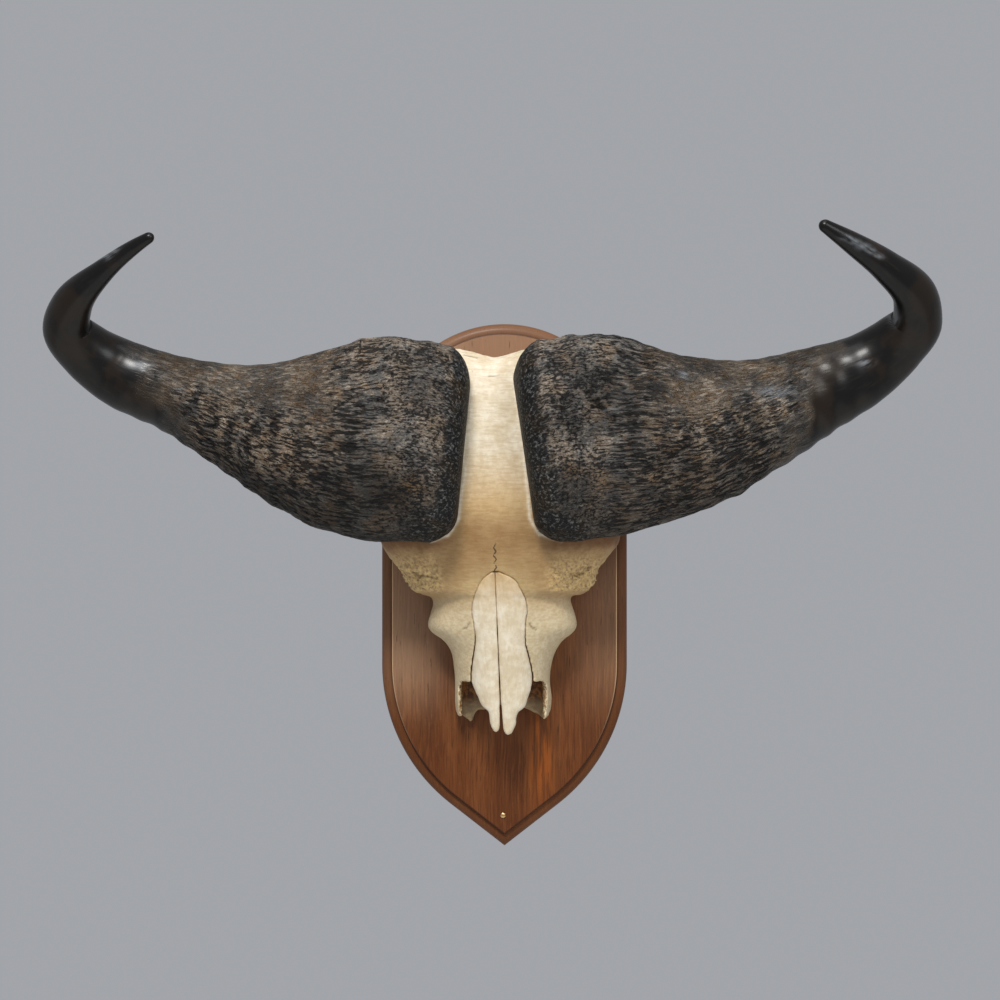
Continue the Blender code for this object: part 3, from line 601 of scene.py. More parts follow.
@dataclass(frozen=True)
class HornFinish:
    """Keratin: taupe bark with black dashes, dark and smooth by the bone, nearly black and glossy at the tip.

    It reads what the horn paints on its mesh: grain, the place along and round the horn; bark, how rough it
    is; cut, how thick the dashes stand; boss, pitted rather than dashed; relief, high or deep, with painted
    shade in the deep parts; tan, worn patches and pale bands; shade, darker growth bands and patches with
    painted shade over the top and the underside of the sweep, darker towards the end of the bark; gleam,
    painted highlights of reflected light; rim, the smooth band by the bone.
    """

    ridge: str = "7C7063"
    ridge_warm: str = "7A6248"
    ridge_cold: str = "676562"
    # Nearly black: the dashes' own dark, with painted shade in the grooves and the deep relief.
    furrow: str = "080706"
    fleck: str = "B0A596"
    worn: str = "94703F"
    rim: str = "191A1A"
    rim_brown: str = "2B2217"
    polished: str = "0D0B0A"
    polished_brown: str = "21180F"
    polished_olive: str = "1E1C16"
    # Colour of the painted highlights, pale spots of reflected light.
    gleam: str = "84888D"
    fibre_stain: str = "6A6058"
    blotch_stain: str = "6E6A66"
    wide_stain: str = "77716B"
    # Darkens the growth bands and patches, and is the painted shade over the top and underside of the sweep.
    band_stain: str = "4C4640"

    def material(self) -> Material:
        """Lays bark and rim over the smooth keratin.

        Returns:
            The material of both horns.
        """
        board = Board("horn")
        grain = board.painted("grain", "Vector")
        masks = ("bark", "cut", "boss", "relief", "rim", "gleam")
        bark, cut, boss, relief, rim, gleam = (board.painted(name) for name in masks)
        dash = board.noise(grain, 400.0, 2.0, 0.5, 0.25, (0.16, 1.0, 1.0))
        pits = board.noise(grain, 430.0, 4.0, 0.65, 0.3, (0.50, 1.0, 1.0))
        pattern = dash * (1.0 - boss) + pits * boss + (board.noise(grain, 34.0, 2.0) - 0.5) * 0.30
        fine = board.noise(grain, 1500.0, 3.0, 0.65, stretch=(0.35, 1.0, 1.0))
        long = board.noise(grain, 250.0, 2.0, 0.5, 0.3, (0.09, 1.0, 1.0))
        strata = board.noise(grain, 120.0, 3.0, 0.6, 0.5, (0.10, 1.0, 1.0))
        line = abs(strata - 0.5).step(0.020, 0.006) * board.noise(grain, 110.0, 2.0).step(0.40, 0.52)
        dark = pattern.step(0.446, 0.424).most(long.step(0.40, 0.38) * (1.0 - boss * 0.5)).most(line) * cut
        # Deep relief and dashes go nearly black: partly their own dark, partly painted shade in the grooves.
        deep = (relief.step(-0.15, -0.60) * 0.80 + dark * 0.95).least(1.0)
        rough_tone = board.mix(deep * 0.95, self.bark_tone(board, grain, pattern, pits, fine), self.furrow)
        streak = board.noise(grain, 260.0, 3.0, 0.6, stretch=(0.10, 1.0, 1.0))
        smooth_tone = board.coats(
            self.polished, (board.noise(grain, 26.0).step(0.43, 0.62) * 0.8, self.polished_brown),
            (streak.step(0.54, 0.72) * 0.6, self.polished_olive))
        rim_tone = board.coats(
            self.rim, (board.noise(grain, 60.0).step(0.45, 0.65), self.rim_brown),
            ((pits + fine * 0.3).step(0.68, 0.80) * 0.8, self.ridge_cold),
            (pits.step(0.46, 0.38) * 0.8, self.furrow))
        # Over the smooth keratin go the bark, the painted highlights of reflected light and the rim.
        tone = board.coats(
            smooth_tone, (bark, rough_tone), (gleam * streak.step(0.36, 0.60), self.gleam), (rim, rim_tone))
        rough = bark * 0.24 + 0.27 + (1.0 - bark) * streak * 0.14 + fine * bark * 0.12
        height = (pattern.step(0.415, 0.48) * 0.7 + fine * 0.3 - line * 0.4) * bark
        normal = board.bump(height + streak * (1.0 - bark) * 0.08, 1.9)
        polish = (1.0 - bark) * (1.0 - rim) * 0.20 + gleam * 0.3
        return board.finished(Base_Color=tone, Roughness=rough, Normal=normal, Coat_Weight=polish,
                              Coat_Roughness=0.24, IOR=1.45, Specular_IOR_Level=0.22)

    def bark_tone(self, board: Board, grain: Wire, pattern: Wire, pits: Wire, fine: Wire) -> Wire:
        """Colours the raised bark, before its dashes are cut in.

        Args:
            board: where the nodes go.
            grain: place along and round the horn.
            pattern: dashes on the sweep, pits on the boss.
            pits: the pits alone.
            fine: fibres.

        Returns:
            The colour.
        """
        blotch = board.noise(grain, 26.0, 4.0, 0.6)
        warm = board.noise(grain, 75.0, 3.0, 0.6).step(0.48, 0.64)
        wide = board.noise(grain, 11.0, 3.0, 0.6)
        tone = board.coats(
            self.ridge_cold, (blotch.step(0.42, 0.60), self.ridge),
            (warm * (1.0 - board.painted("boss") * 0.5) * 0.65, self.ridge_warm),
            (board.painted("tan") * pits.step(0.42, 0.56), self.worn),
            ((pattern + fine * 0.5).step(0.82, 0.96) * 0.7, self.fleck))
        # The last stain darkens the growth bands and patches, lays painted shade over the top and the
        # underside of the sweep, and darkens the bark towards its end.
        return board.stains(
            tone, (fine.step(0.58, 0.36) * 0.55, self.fibre_stain),
            (blotch.step(0.52, 0.38) * 0.40, self.blotch_stain),
            (wide.step(0.56, 0.40) * 0.55, self.wide_stain), (board.painted("shade"), self.band_stain))


@dataclass(frozen=True)
class BoneFinish:
    """Dry bone: cream forehead, golden and brown stain over the brow, brown stain and painted shade in the
    nose.

    On the skull cap it reads what the cap paints: under, the rust-brown band below the horns; bright, the
    clean middle of the brow; edge, fresh rims; inside, the hollow of the nose, painted dark brown as stain
    and painted shade; rugged, the porous brow; seam and crack, open lines. On the nasal bones it reads seam
    alone.
    """

    name: str = "bone"
    nasal: bool = False
    cream: str = "D9CBAF"
    pale: str = "E5DBC6"
    bright: str = "D9C594"
    golden: str = "BD944B"
    brown: str = "7F571F"
    rust: str = "70400F"
    grey: str = "CDBF9D"
    # Dark brown of the nose's hollow: stain, with painted shade in the recess.
    cavity: str = "5A3210"
    cavity_light: str = "9A6730"
    palate: str = "A3906E"
    pore: str = "6B4A22"
    grit: str = "E3C583"
    seam: str = "4A3218"
    suture: str = "3B2814"
    sawn: str = "F0E6D0"
    rim_pale: str = "EBD9B4"
    rim_brown: str = "A06F30"
    fibre_stain: str = "C4A36E"
    mottle_stain: str = "CDB48A"

    def material(self) -> Material:
        """Builds the clean bone, its stains and its pits.

        Returns:
            The material of the skull cap, or of the nasal bones.
        """
        board = Board(self.name)
        place = board.place()
        wander = board.noise(place, 9.0, 3.0, 0.55, output="Color")
        z = board.axes(board.moved(place, wander, 0.028))[2] - 0.014
        cloud = board.noise(place, 38.0, 4.0, 0.6)
        mottle = board.noise(place, 150.0, 3.0, 0.6)
        fibre, grainy = ((1.0, 1.0, 0.12), 0.12) if self.nasal else ((0.16, 1.0, 1.0), 0.26)
        across = board.noise(place, 430.0, 3.0, 0.6, stretch=fibre)
        tone = board.mix(cloud.step(0.35, 0.65), self.cream, self.pale)
        if self.nasal:
            broken = board.noise(place, 420.0, 2.0).step(0.40, 0.55)
            tone = board.coats(
                tone, (z.step(-0.040, 0.014) * 0.62, self.golden),
                (z.step(-0.10, -0.15) * cloud * 0.30, self.grey),
                (board.painted("seam") * broken * 0.25, self.seam))
        else:
            tone = self.stained(board, z, cloud, mottle, tone)
            tone = board.mix(self.zigzag(board, place), tone, self.suture)
        scattered = board.node("ShaderNodeTexVoronoi", {"Vector": place, "Scale": 330.0}, "Distance")
        pits = scattered.step(0.17, 0.05) * mottle.step(0.50, 0.60)
        tone = board.stains(
            board.mix(pits * 0.45, tone, self.pore), (across.step(0.60, 0.35) * grainy, self.fibre_stain),
            (mottle.step(0.62, 0.40) * 0.20, self.mottle_stain))
        normal = board.bump(mottle * 0.5 + across * grainy * 1.2 - pits * 1.2, 0.45, 0.7)
        return board.finished(Base_Color=tone, Roughness=0.48 + 0.22 * mottle, Normal=normal, IOR=1.5,
                              Subsurface_Weight=0.05, Subsurface_Radius=(0.004, 0.0025, 0.0015),
                              Subsurface_Scale=0.6)

    def stained(self, board: Board, z: Wire, cloud: Wire, mottle: Wire, tone: Wire) -> Wire:
        """Stains the skull cap from the forehead down to the free edge of the face.

        Args:
            board: where the nodes go.
            z: height, a little uneven.
            cloud: wide patches.
            mottle: small patches.
            tone: the clean colour.

        Returns:
            The stained colour.
        """
        rugged, edge, inside = (board.painted(name) for name in ("rugged", "edge", "inside"))
        pebble = board.noise(board.place(), 330.0, 3.0, 0.6)
        brow = z.step(0.098, 0.050) * z.step(-0.045, 0.008) * (1.0 - rugged * 0.75)
        low_face = (z.step(-0.080, -0.090) * 0.75).most(inside)
        rim = board.coats(self.rim_pale, (pebble.step(0.42, 0.56), self.rim_brown))
        # The hollow of the nose is painted dark brown: partly stain, partly painted shade in the recess.
        hollow = board.coats(
            self.cavity, (mottle.step(0.42, 0.62), self.cavity_light),
            (z.step(-0.118, -0.134) * 0.8, self.palate))
        low = z.step(0.165, 0.080) * (0.52 + 0.35 * cloud) * (1.0 - 0.5 * z.step(0.0, -0.04))
        return board.coats(
            tone, (low, self.golden), (brow * (cloud * 0.85 + 0.16), self.brown),
            (z.step(0.0, -0.045) * (0.40 + 0.5 * cloud), self.grey),
            (board.painted("under") * (0.35 + 0.75 * mottle), self.rust),
            (rugged * pebble.step(0.44, 0.60) * 0.75, self.grit),
            (rugged * pebble.step(0.44, 0.34) * 0.65, self.pore),
            (board.painted("bright") * (0.3 + 0.6 * cloud), self.bright),
            (edge, board.mix(low_face, self.sawn, rim)), (inside * (1.0 - edge), hollow),
            (board.painted("seam") * pebble.step(0.42, 0.54) * 0.85, self.seam),
            (board.painted("crack") * 0.6, self.seam))

    @staticmethod
    def zigzag(board: Board, place: Wire) -> Wire:
        """Draws the forehead's zigzag suture.

        Args:
            board: where the nodes go.
            place: object coordinates.

        Returns:
            How much of it shows.
        """
        x, _, z = board.axes(place)
        wobble = (z * 240.0).zigzag(1.0) * 2.6 * MM
        fine = board.noise(place, 300.0) * 2.4 * MM
        line = abs(x + 11.7 * MM - wobble - fine + z * 0.03)
        mark = line.step(1.15 * MM, 0.45 * MM) * z.step(15.0 * MM, 17.0 * MM) * z.step(49.0 * MM, 43.0 * MM)
        return mark * board.noise(place, 230.0, 2.0).step(0.36, 0.46) * 0.85


@dataclass(frozen=True)
class WoodFinish:
    """Varnished mahogany with upright grain, darker on the moulding.

    It reads what the plaque paints: border, the moulded edge; quirk, the groove inside it; arris, the edge
    of the field, with a painted highlight along its straight sides and a dark line round the rest.
    """

    light: str = "85532C"
    middle: str = "653613"
    dark: str = "431F08"
    flame: str = "A3561A"
    edge: str = "5C3312"
    # Colour of the painted reflection of the lamps.
    sheen: str = "AC8B6F"
    arris: str = "D9B48C"
    pore: str = "1F0E06"
    groove: str = "1A0B05"

    def material(self) -> Material:
        """Builds the grain, a painted reflection and the darker moulding.

        Returns:
            The material of the plaque.
        """
        board = Board("wood")
        place = board.place()
        flow = board.moved(place, board.noise(place, 7.0, 2.0, output="Color"), 0.012)
        broad = board.noise(flow, 20.0, 5.0, 0.55, stretch=(1.0, 1.0, 0.16))
        fine = board.noise(flow, 560.0, 4.0, 0.70, stretch=(1.0, 1.0, 0.035))
        pores = board.noise(place, 900.0, 2.0, 0.6, stretch=(1.0, 1.0, 0.045))
        x, _, z = board.axes(place)
        border, line = board.painted("border"), board.painted("arris")
        # A painted reflection of the lamps: paler wood at both sides of the field and over the top of the
        # arch.
        sides = (x.step(-0.030, -0.105) + x.step(0.04, 0.11) * 0.35) * z.step(-0.165, -0.07)
        reflection_share = sides * (0.35 + 0.55 * fine) + z.step(0.20, 0.25) * 0.55
        flame = (x - 0.041).step(-0.020, -0.006) * (x - 0.041).step(0.018, 0.004) * z.step(-0.11, -0.15)
        streaks = board.noise(place, 330.0, stretch=(1.0, 1.0, 0.05))
        flame = flame * z.step(-0.27, -0.20) * streaks.step(0.40, 0.62)
        straight = z.step(-0.20, -0.05) * z.step(0.08, 0.0)
        stops = ((0.22, self.dark), (0.50, self.middle), (0.80, self.light))
        tone = board.coats(
            board.node("ShaderNodeValToRGB", {0: broad}, "Color", stops=stops),
            (fine.step(0.54, 0.36) * 0.55, self.dark), (fine.step(0.54, 0.68) * 0.40, self.light),
            # The painted reflection, then the orange flame.
            (reflection_share.least(1.0) * 0.85, self.sheen), (flame * 0.6, self.flame),
            (pores.step(0.36, 0.28) * 0.7, self.pore), (border * 0.60, self.edge),
            (board.painted("quirk") * 0.85, self.groove),
            # A painted highlight along the field's edge on the straight sides, a dark line round the rest.
            (line * 0.8, board.mix(straight, self.dark, self.arris)))
        rough = 0.34 + 0.16 * fine + 0.10 * border + 0.30 * line * (1.0 - straight)
        normal = board.bump(fine * 0.6 + pores * 0.6, 0.18, 0.5)
        return board.finished(Base_Color=tone, Roughness=rough, Normal=normal, Coat_Weight=0.08,
                              Coat_Roughness=0.22, IOR=1.5, Specular_IOR_Level=0.22)


@dataclass(frozen=True)
class MetalFinish:
    """Plated steel or brass with fine scratches and dull spots."""

    name: str
    bright: str
    dull: str
    polish: float

    def material(self) -> Material:
        """Builds the metal with its spots and scratches.

        Returns:
            The material.
        """
        board = Board(self.name)
        place = board.place()
        spots = board.noise(place, 420.0, 4.0, 0.65)
        scratches = board.noise(place, 2600.0, 2.0, stretch=(1.0, 1.0, 0.12))
        tone = board.mix(spots.step(0.42, 0.70), self.bright, self.dull)
        return board.finished(Base_Color=tone, Metallic=1.0, Roughness=self.polish + 0.22 * spots,
                              Normal=board.bump(scratches, 0.04, 0.5))


@dataclass
class Horn:
    """One horn: a wide flat boss over the forehead, a sweep out and down, and a hooked polished tip.

    Each station is (x, z, stand-off, half width, half depth, fullness of the section). A patch is (x, z,
    size, share), with a share below nothing where the bark is darker than round it, a painted highlight,
    a pale spot of reflected light laid into the colour, is (x, z, half width, half height), and a knob is
    (x, z, size, height). Lengths are in mm.
    """

    side: Side
    stations: tuple[Row, ...]
    corners: Point
    furrows: tuple[Cut, ...]
    patches: tuple[Row, ...]
    gleams: tuple[Row, ...]
    knobs: tuple[Row, ...]
    seed: int
    around: int = 262
    boss_step: float = 1.36
    tip_step: float = 3.6
    boss_length: float = 400.0
    end_steps: Row = (0.0, 0.4, 1.0, 1.8, 2.8, 4.0)
    tip_steps: Row = (6.0, 5.0, 4.0, 3.0, 2.2, 1.5, 0.9, 0.45, 0.15, 0.02)
    tip_round: float = 6.0
    edge_round: float = 20.0
    back_share: float = 0.22
    lumps: float = 4.2
    lumps_to_the_metre: float = 24.0
    long_lumps: float = 2.4
    long_lumps_to_the_metre: Row = (18.0, 60.0, 60.0)
    lump_span: Point = (330.0, 170.0)
    bark_fade: Point = (372.0, 292.0)
    ring_height: float = 0.7
    ring_span: Row = (150.0, 210.0, 320.0, 400.0)
    ring_pitch: float = 26.0
    band_pitch: float = 4.1
    warp_pitch: float = 38.0
    wear_pitch: float = 30.0
    ripple: float = 0.45
    ripple_pitch: Row = (9.0, 26.0, 26.0)
    dash: float = 1.1
    dash_pitch: Row = (12.0, 2.4, 2.4)
    crumble: float = 1.0
    crumb_pitch: float = 4.6
    ridge_pitch: Row = (2.6, 9.0, 9.0)

    def __post_init__(self) -> None:
        """Works out how far along the horn each station lies."""
        self.table = np.array(self.stations)
        steps = np.linalg.norm(np.diff(self.table[:, :3], axis=0), axis=1)
        self.reaches = np.concatenate(([0.0], np.cumsum(steps)))
        self.length = float(self.reaches[-1])

    def ring_places(self) -> Array:
        """Where the rings stand along the horn, in mm."""
        boss = np.arange(self.end_steps[-1] + self.boss_step, self.boss_length, self.boss_step)
        tip = np.arange(self.boss_length, self.length - self.tip_steps[0] - 1.0, self.tip_step)
        return np.concatenate((self.end_steps, boss, tip, self.length - np.array(self.tip_steps)))

    def shares_around(self) -> Array:
        """Spaces the points of a ring, close together on the front.

        Returns:
            Where they stand, as shares of its length.
        """
        fine = np.linspace(0.0, 1.0, 2001)
        back = smoothstep(0.10, 0.20, np.abs((fine - 0.25 + 0.5) % 1.0 - 0.5) - 0.12)
        weight = 1.0 - (1.0 - self.back_share) * back
        total = np.concatenate(([0.0], np.cumsum((weight[1:] + weight[:-1]) / 2.0)))
        return np.interp(np.arange(self.around) / self.around, total / total[-1], fine)

    def centre(self, reach: Array) -> Array:
        """Points on the horn's middle line, in mm."""
        x, z, stand_off = (smooth(self.reaches, self.table[:, k], reach) for k in range(3))
        return np.column_stack((x, -stand_off, z))

    def skin(self) -> tuple[Array, Array, Array, Array]:
        """The bare form before any relief.

        Returns:
            Points in mm, outward directions, reach of each point and its seamless grain place in mm.
        """
        reach = self.ring_places()
        width, depth, fullness = (smooth(self.reaches, self.table[:, k], reach) for k in (3, 4, 5))
        ahead = self.centre(np.minimum(reach + 2.0, self.length))
        tangent = ahead - self.centre(np.maximum(reach - 2.0, 0.0))
        tangent /= np.linalg.norm(tangent, axis=1, keepdims=True)
        across = np.column_stack((-tangent[:, 2], np.zeros(len(reach)), tangent[:, 0]))
        across /= np.linalg.norm(across, axis=1, keepdims=True)
        forward = np.cross(tangent, across)
        upper, lower = (end_round(reach, radius) for radius in self.corners)
        width = width - (upper + lower) / 2.0
        depth = depth - end_round(reach, self.edge_round)
        left = np.clip(self.length - reach, 0.0, self.tip_round)
        taper = np.sqrt(np.clip(1.0 - ((self.tip_round - left) / self.tip_round) ** 2, 0.0, 1.0))
        rise = across * np.where(across[:, 2] > 0.0, 1.0, -1.0)[:, None]
        middle = self.centre(reach) - rise * ((upper - lower) / 2.0)[:, None]
        shares = self.shares_around()
        turn = shares * 2.0 * math.pi
        angle = np.linspace(0.0, 2.0 * math.pi, 361)
        c, s = np.cos(angle), np.sin(angle)
        points, outs, grain = [], [], []
        for k in range(len(reach)):
            power = 2.0 / fullness[k]
            outline = np.column_stack((np.sign(c) * np.abs(c) ** power * width[k] * taper[k],
                                       np.sign(s) * np.abs(s) ** power * depth[k] * taper[k]))
            spots = along_line(outline, shares)
            offset = across[k] * spots[:, :1] + forward[k] * spots[:, 1:]
            points.append(middle[k] + offset)
            outs.append(offset / np.maximum(np.linalg.norm(offset, axis=1, keepdims=True), 1e-9))
            girth = np.sum(np.linalg.norm(np.diff(outline, axis=0), axis=1)) / (2.0 * math.pi)
            along = np.full(len(turn), reach[k])
            grain.append(np.column_stack((along, girth * np.cos(turn), girth * np.sin(turn))))
        return np.vstack(points), np.vstack(outs), np.repeat(reach, len(shares)), np.vstack(grain)

    def shared_relief(self, points: Array, reach: Array) -> Array:
        """The lumps and growth rings that the solid has too.

        Args:
            points: on the bare form, in mm.
            reach: along the horn, in mm.

        Returns:
            Height in mm.
        """
        end, whole = self.lump_span
        fade = np.clip((end - reach) / (end - whole), 0.0, 1.0)
        coarse = np.array([noise.noise(Vector(p) * self.lumps_to_the_metre) for p in points * MM])
        long = np.array([noise.noise(Vector(p)) for p in points * MM * self.long_lumps_to_the_metre])
        rings = np.sin(2.0 * math.pi * reach / self.ring_pitch) * self.ring_height
        share = np.interp(reach, self.ring_span, (0.0, 1.0, 1.0, 0.0))
        return (coarse * self.lumps + long * self.long_lumps) * fade + rings * share

    def bark_relief(self, grain: Array, reach: Array, boss: Array) -> tuple[Array, Array, Array]:
        """Fine bark: ripples across, dashes along and crumbling near the bone.

        Args:
            grain: place along and round the horn, in mm.
            reach: along the horn, in mm.
            boss: 1 on the pitted boss, 0 on the dashed sweep.

        Returns:
            Height in mm, the same relief from about -1 to 1, and the growth bands from 0 to 1.
        """
        wave, dash, rubble, warp = (Grain(self.seed + k) for k in range(4))
        bend = warp.layered(grain / self.warp_pitch, 2)
        bent = grain + np.column_stack((bend * 7.0, bend * 3.0, -bend * 3.0))
        ripples = 1.0 - 2.2 * np.abs(wave.layered(bent / self.ripple_pitch, 2))
        lines = -smoothstep(0.08, 0.40, dash.layered(bent / self.dash_pitch, 2))
        crumbs = rubble.layered(grain / self.crumb_pitch + 5.0, 3, 0.7)
        upright = wave.layered(grain / self.ridge_pitch + 11.0, 2, 0.6)
        band = smoothstep(-0.2, 0.8, np.sin(reach / self.band_pitch + 2.2 * bend))
        band = band * smoothstep(80.0, 150.0, reach)
        fine = lines * (0.75 + 0.25 * band) * (1.0 - boss) + (0.6 * upright + 1.1 * crumbs) * boss
        height = ripples * self.ripple * (0.45 + 0.55 * smoothstep(50.0, 140.0, reach))
        height += fine * (self.dash * (1.0 - boss) + self.crumble * boss)
        return height, np.clip(fine, -1.0, 1.0), band

    def mesh(self) -> Mesh:
        """Builds the horn's mesh and paints what its finish reads.

        Returns:
            The mesh, in metres.
        """
        points, outs, reach, grain = self.skin()
        worn = 1.0 - 0.55 * smoothstep(0.1, 0.7, outs[:, 2]) * smoothstep(150.0, 210.0, reach)
        base = points + outs * (self.shared_relief(points, reach) * worn)[:, None]
        x, z, up = base[:, 0], base[:, 2], outs[:, 2]
        foot = self.table[0, 1] - self.table[0, 3]
        front = smoothstep(-0.15, 0.25, -outs[:, 1])
        wear = Grain(self.seed + 9).layered(grain / self.wear_pitch, 3)
        boss = smoothstep(112.0, 62.0, reach)
        bark = smoothstep(*self.bark_fade, reach + 45.0 * wear - 48.0 * up)
        corner = smoothstep(1.12, 0.85, reach / 78.0 + (z - foot) / 54.0 + 0.3 * wear)
        calm = np.maximum(smoothstep(29.0, 18.0, reach + 12.0 * wear), corner)
        upper = smoothstep(0.05, 0.75, up + 0.4 * wear) * smoothstep(100.0, 170.0, reach)
        height, relief, band = self.bark_relief(grain, reach, boss)
        height = height * bark * (1.0 - 0.5 * calm) * (1.0 - 0.8 * upper)
        relief = relief * (1.0 - 0.75 * upper)
        for width, depth, line in self.furrows:
            groove = bump_at(0.0, width, line_distance(x + 1.2 * wear, z + 2.5 * wear, line)) * front
            height -= depth * groove
            relief = relief - min(1.1, 1.8 / width) * groove
        for kx, kz, size, lift in self.knobs:
            height += lift * blot(x - kx, z - kz, size, size)
        pale = (1.0 - band) * smoothstep(110.0, 170.0, reach) * (1.0 - upper)
        tan = np.maximum(0.18 * upper, 0.20 * pale)
        # Shade: darker growth bands, painted shade over the top of the sweep, darker towards the end of the
        # bark, and painted shade on the underside.
        shade = np.maximum(band * 0.55 * (1.0 - upper), 0.35 * upper + 0.35 * smoothstep(250.0, 330.0, reach))
        shade = np.maximum(shade, 0.60 * smoothstep(-0.35, -0.85, up + 0.2 * wear))
        for px, pz, size, share in self.patches:
            spot = blot(x - px, z - pz, size, size / 0.8) * (0.7 + 0.7 * wear) * front
            tan = np.maximum(tan, share * spot)
            shade = np.maximum(shade, -share * spot)
        # Painted highlights: pale spots of reflected light laid into the colour on the front of the horn.
        gleam = np.zeros(len(x))
        for gx, gz, wide, tall in self.gleams:
            gleam = np.maximum(gleam, blot(x - gx, z - gz, wide, tall) * front)
        final = base + outs * height[:, None]
        mesh = ring_mesh(f"horn_{self.side.word}", final.reshape(-1, self.around, 3))
        masks = {"bark": bark, "boss": boss, "relief": relief * bark * (1.0 - 0.5 * calm),
                 "cut": bark * (1.0 - 0.8 * upper), "tan": tan * (1.0 - calm), "rim": calm,
                 "grain": grain * MM, "shade": np.clip(shade, 0.0, 1.0) * bark, "gleam": gleam * 0.6}
        paint(mesh, **{name: np.concatenate((values, values[[0, -1]])) for name, values in masks.items()})
        return mesh

    def build(self, finish: Material) -> None:
        """Makes the horn and fits it in place of its solid."""
        fit_piece(self.mesh(), f"horn_{self.side.word}", finish)


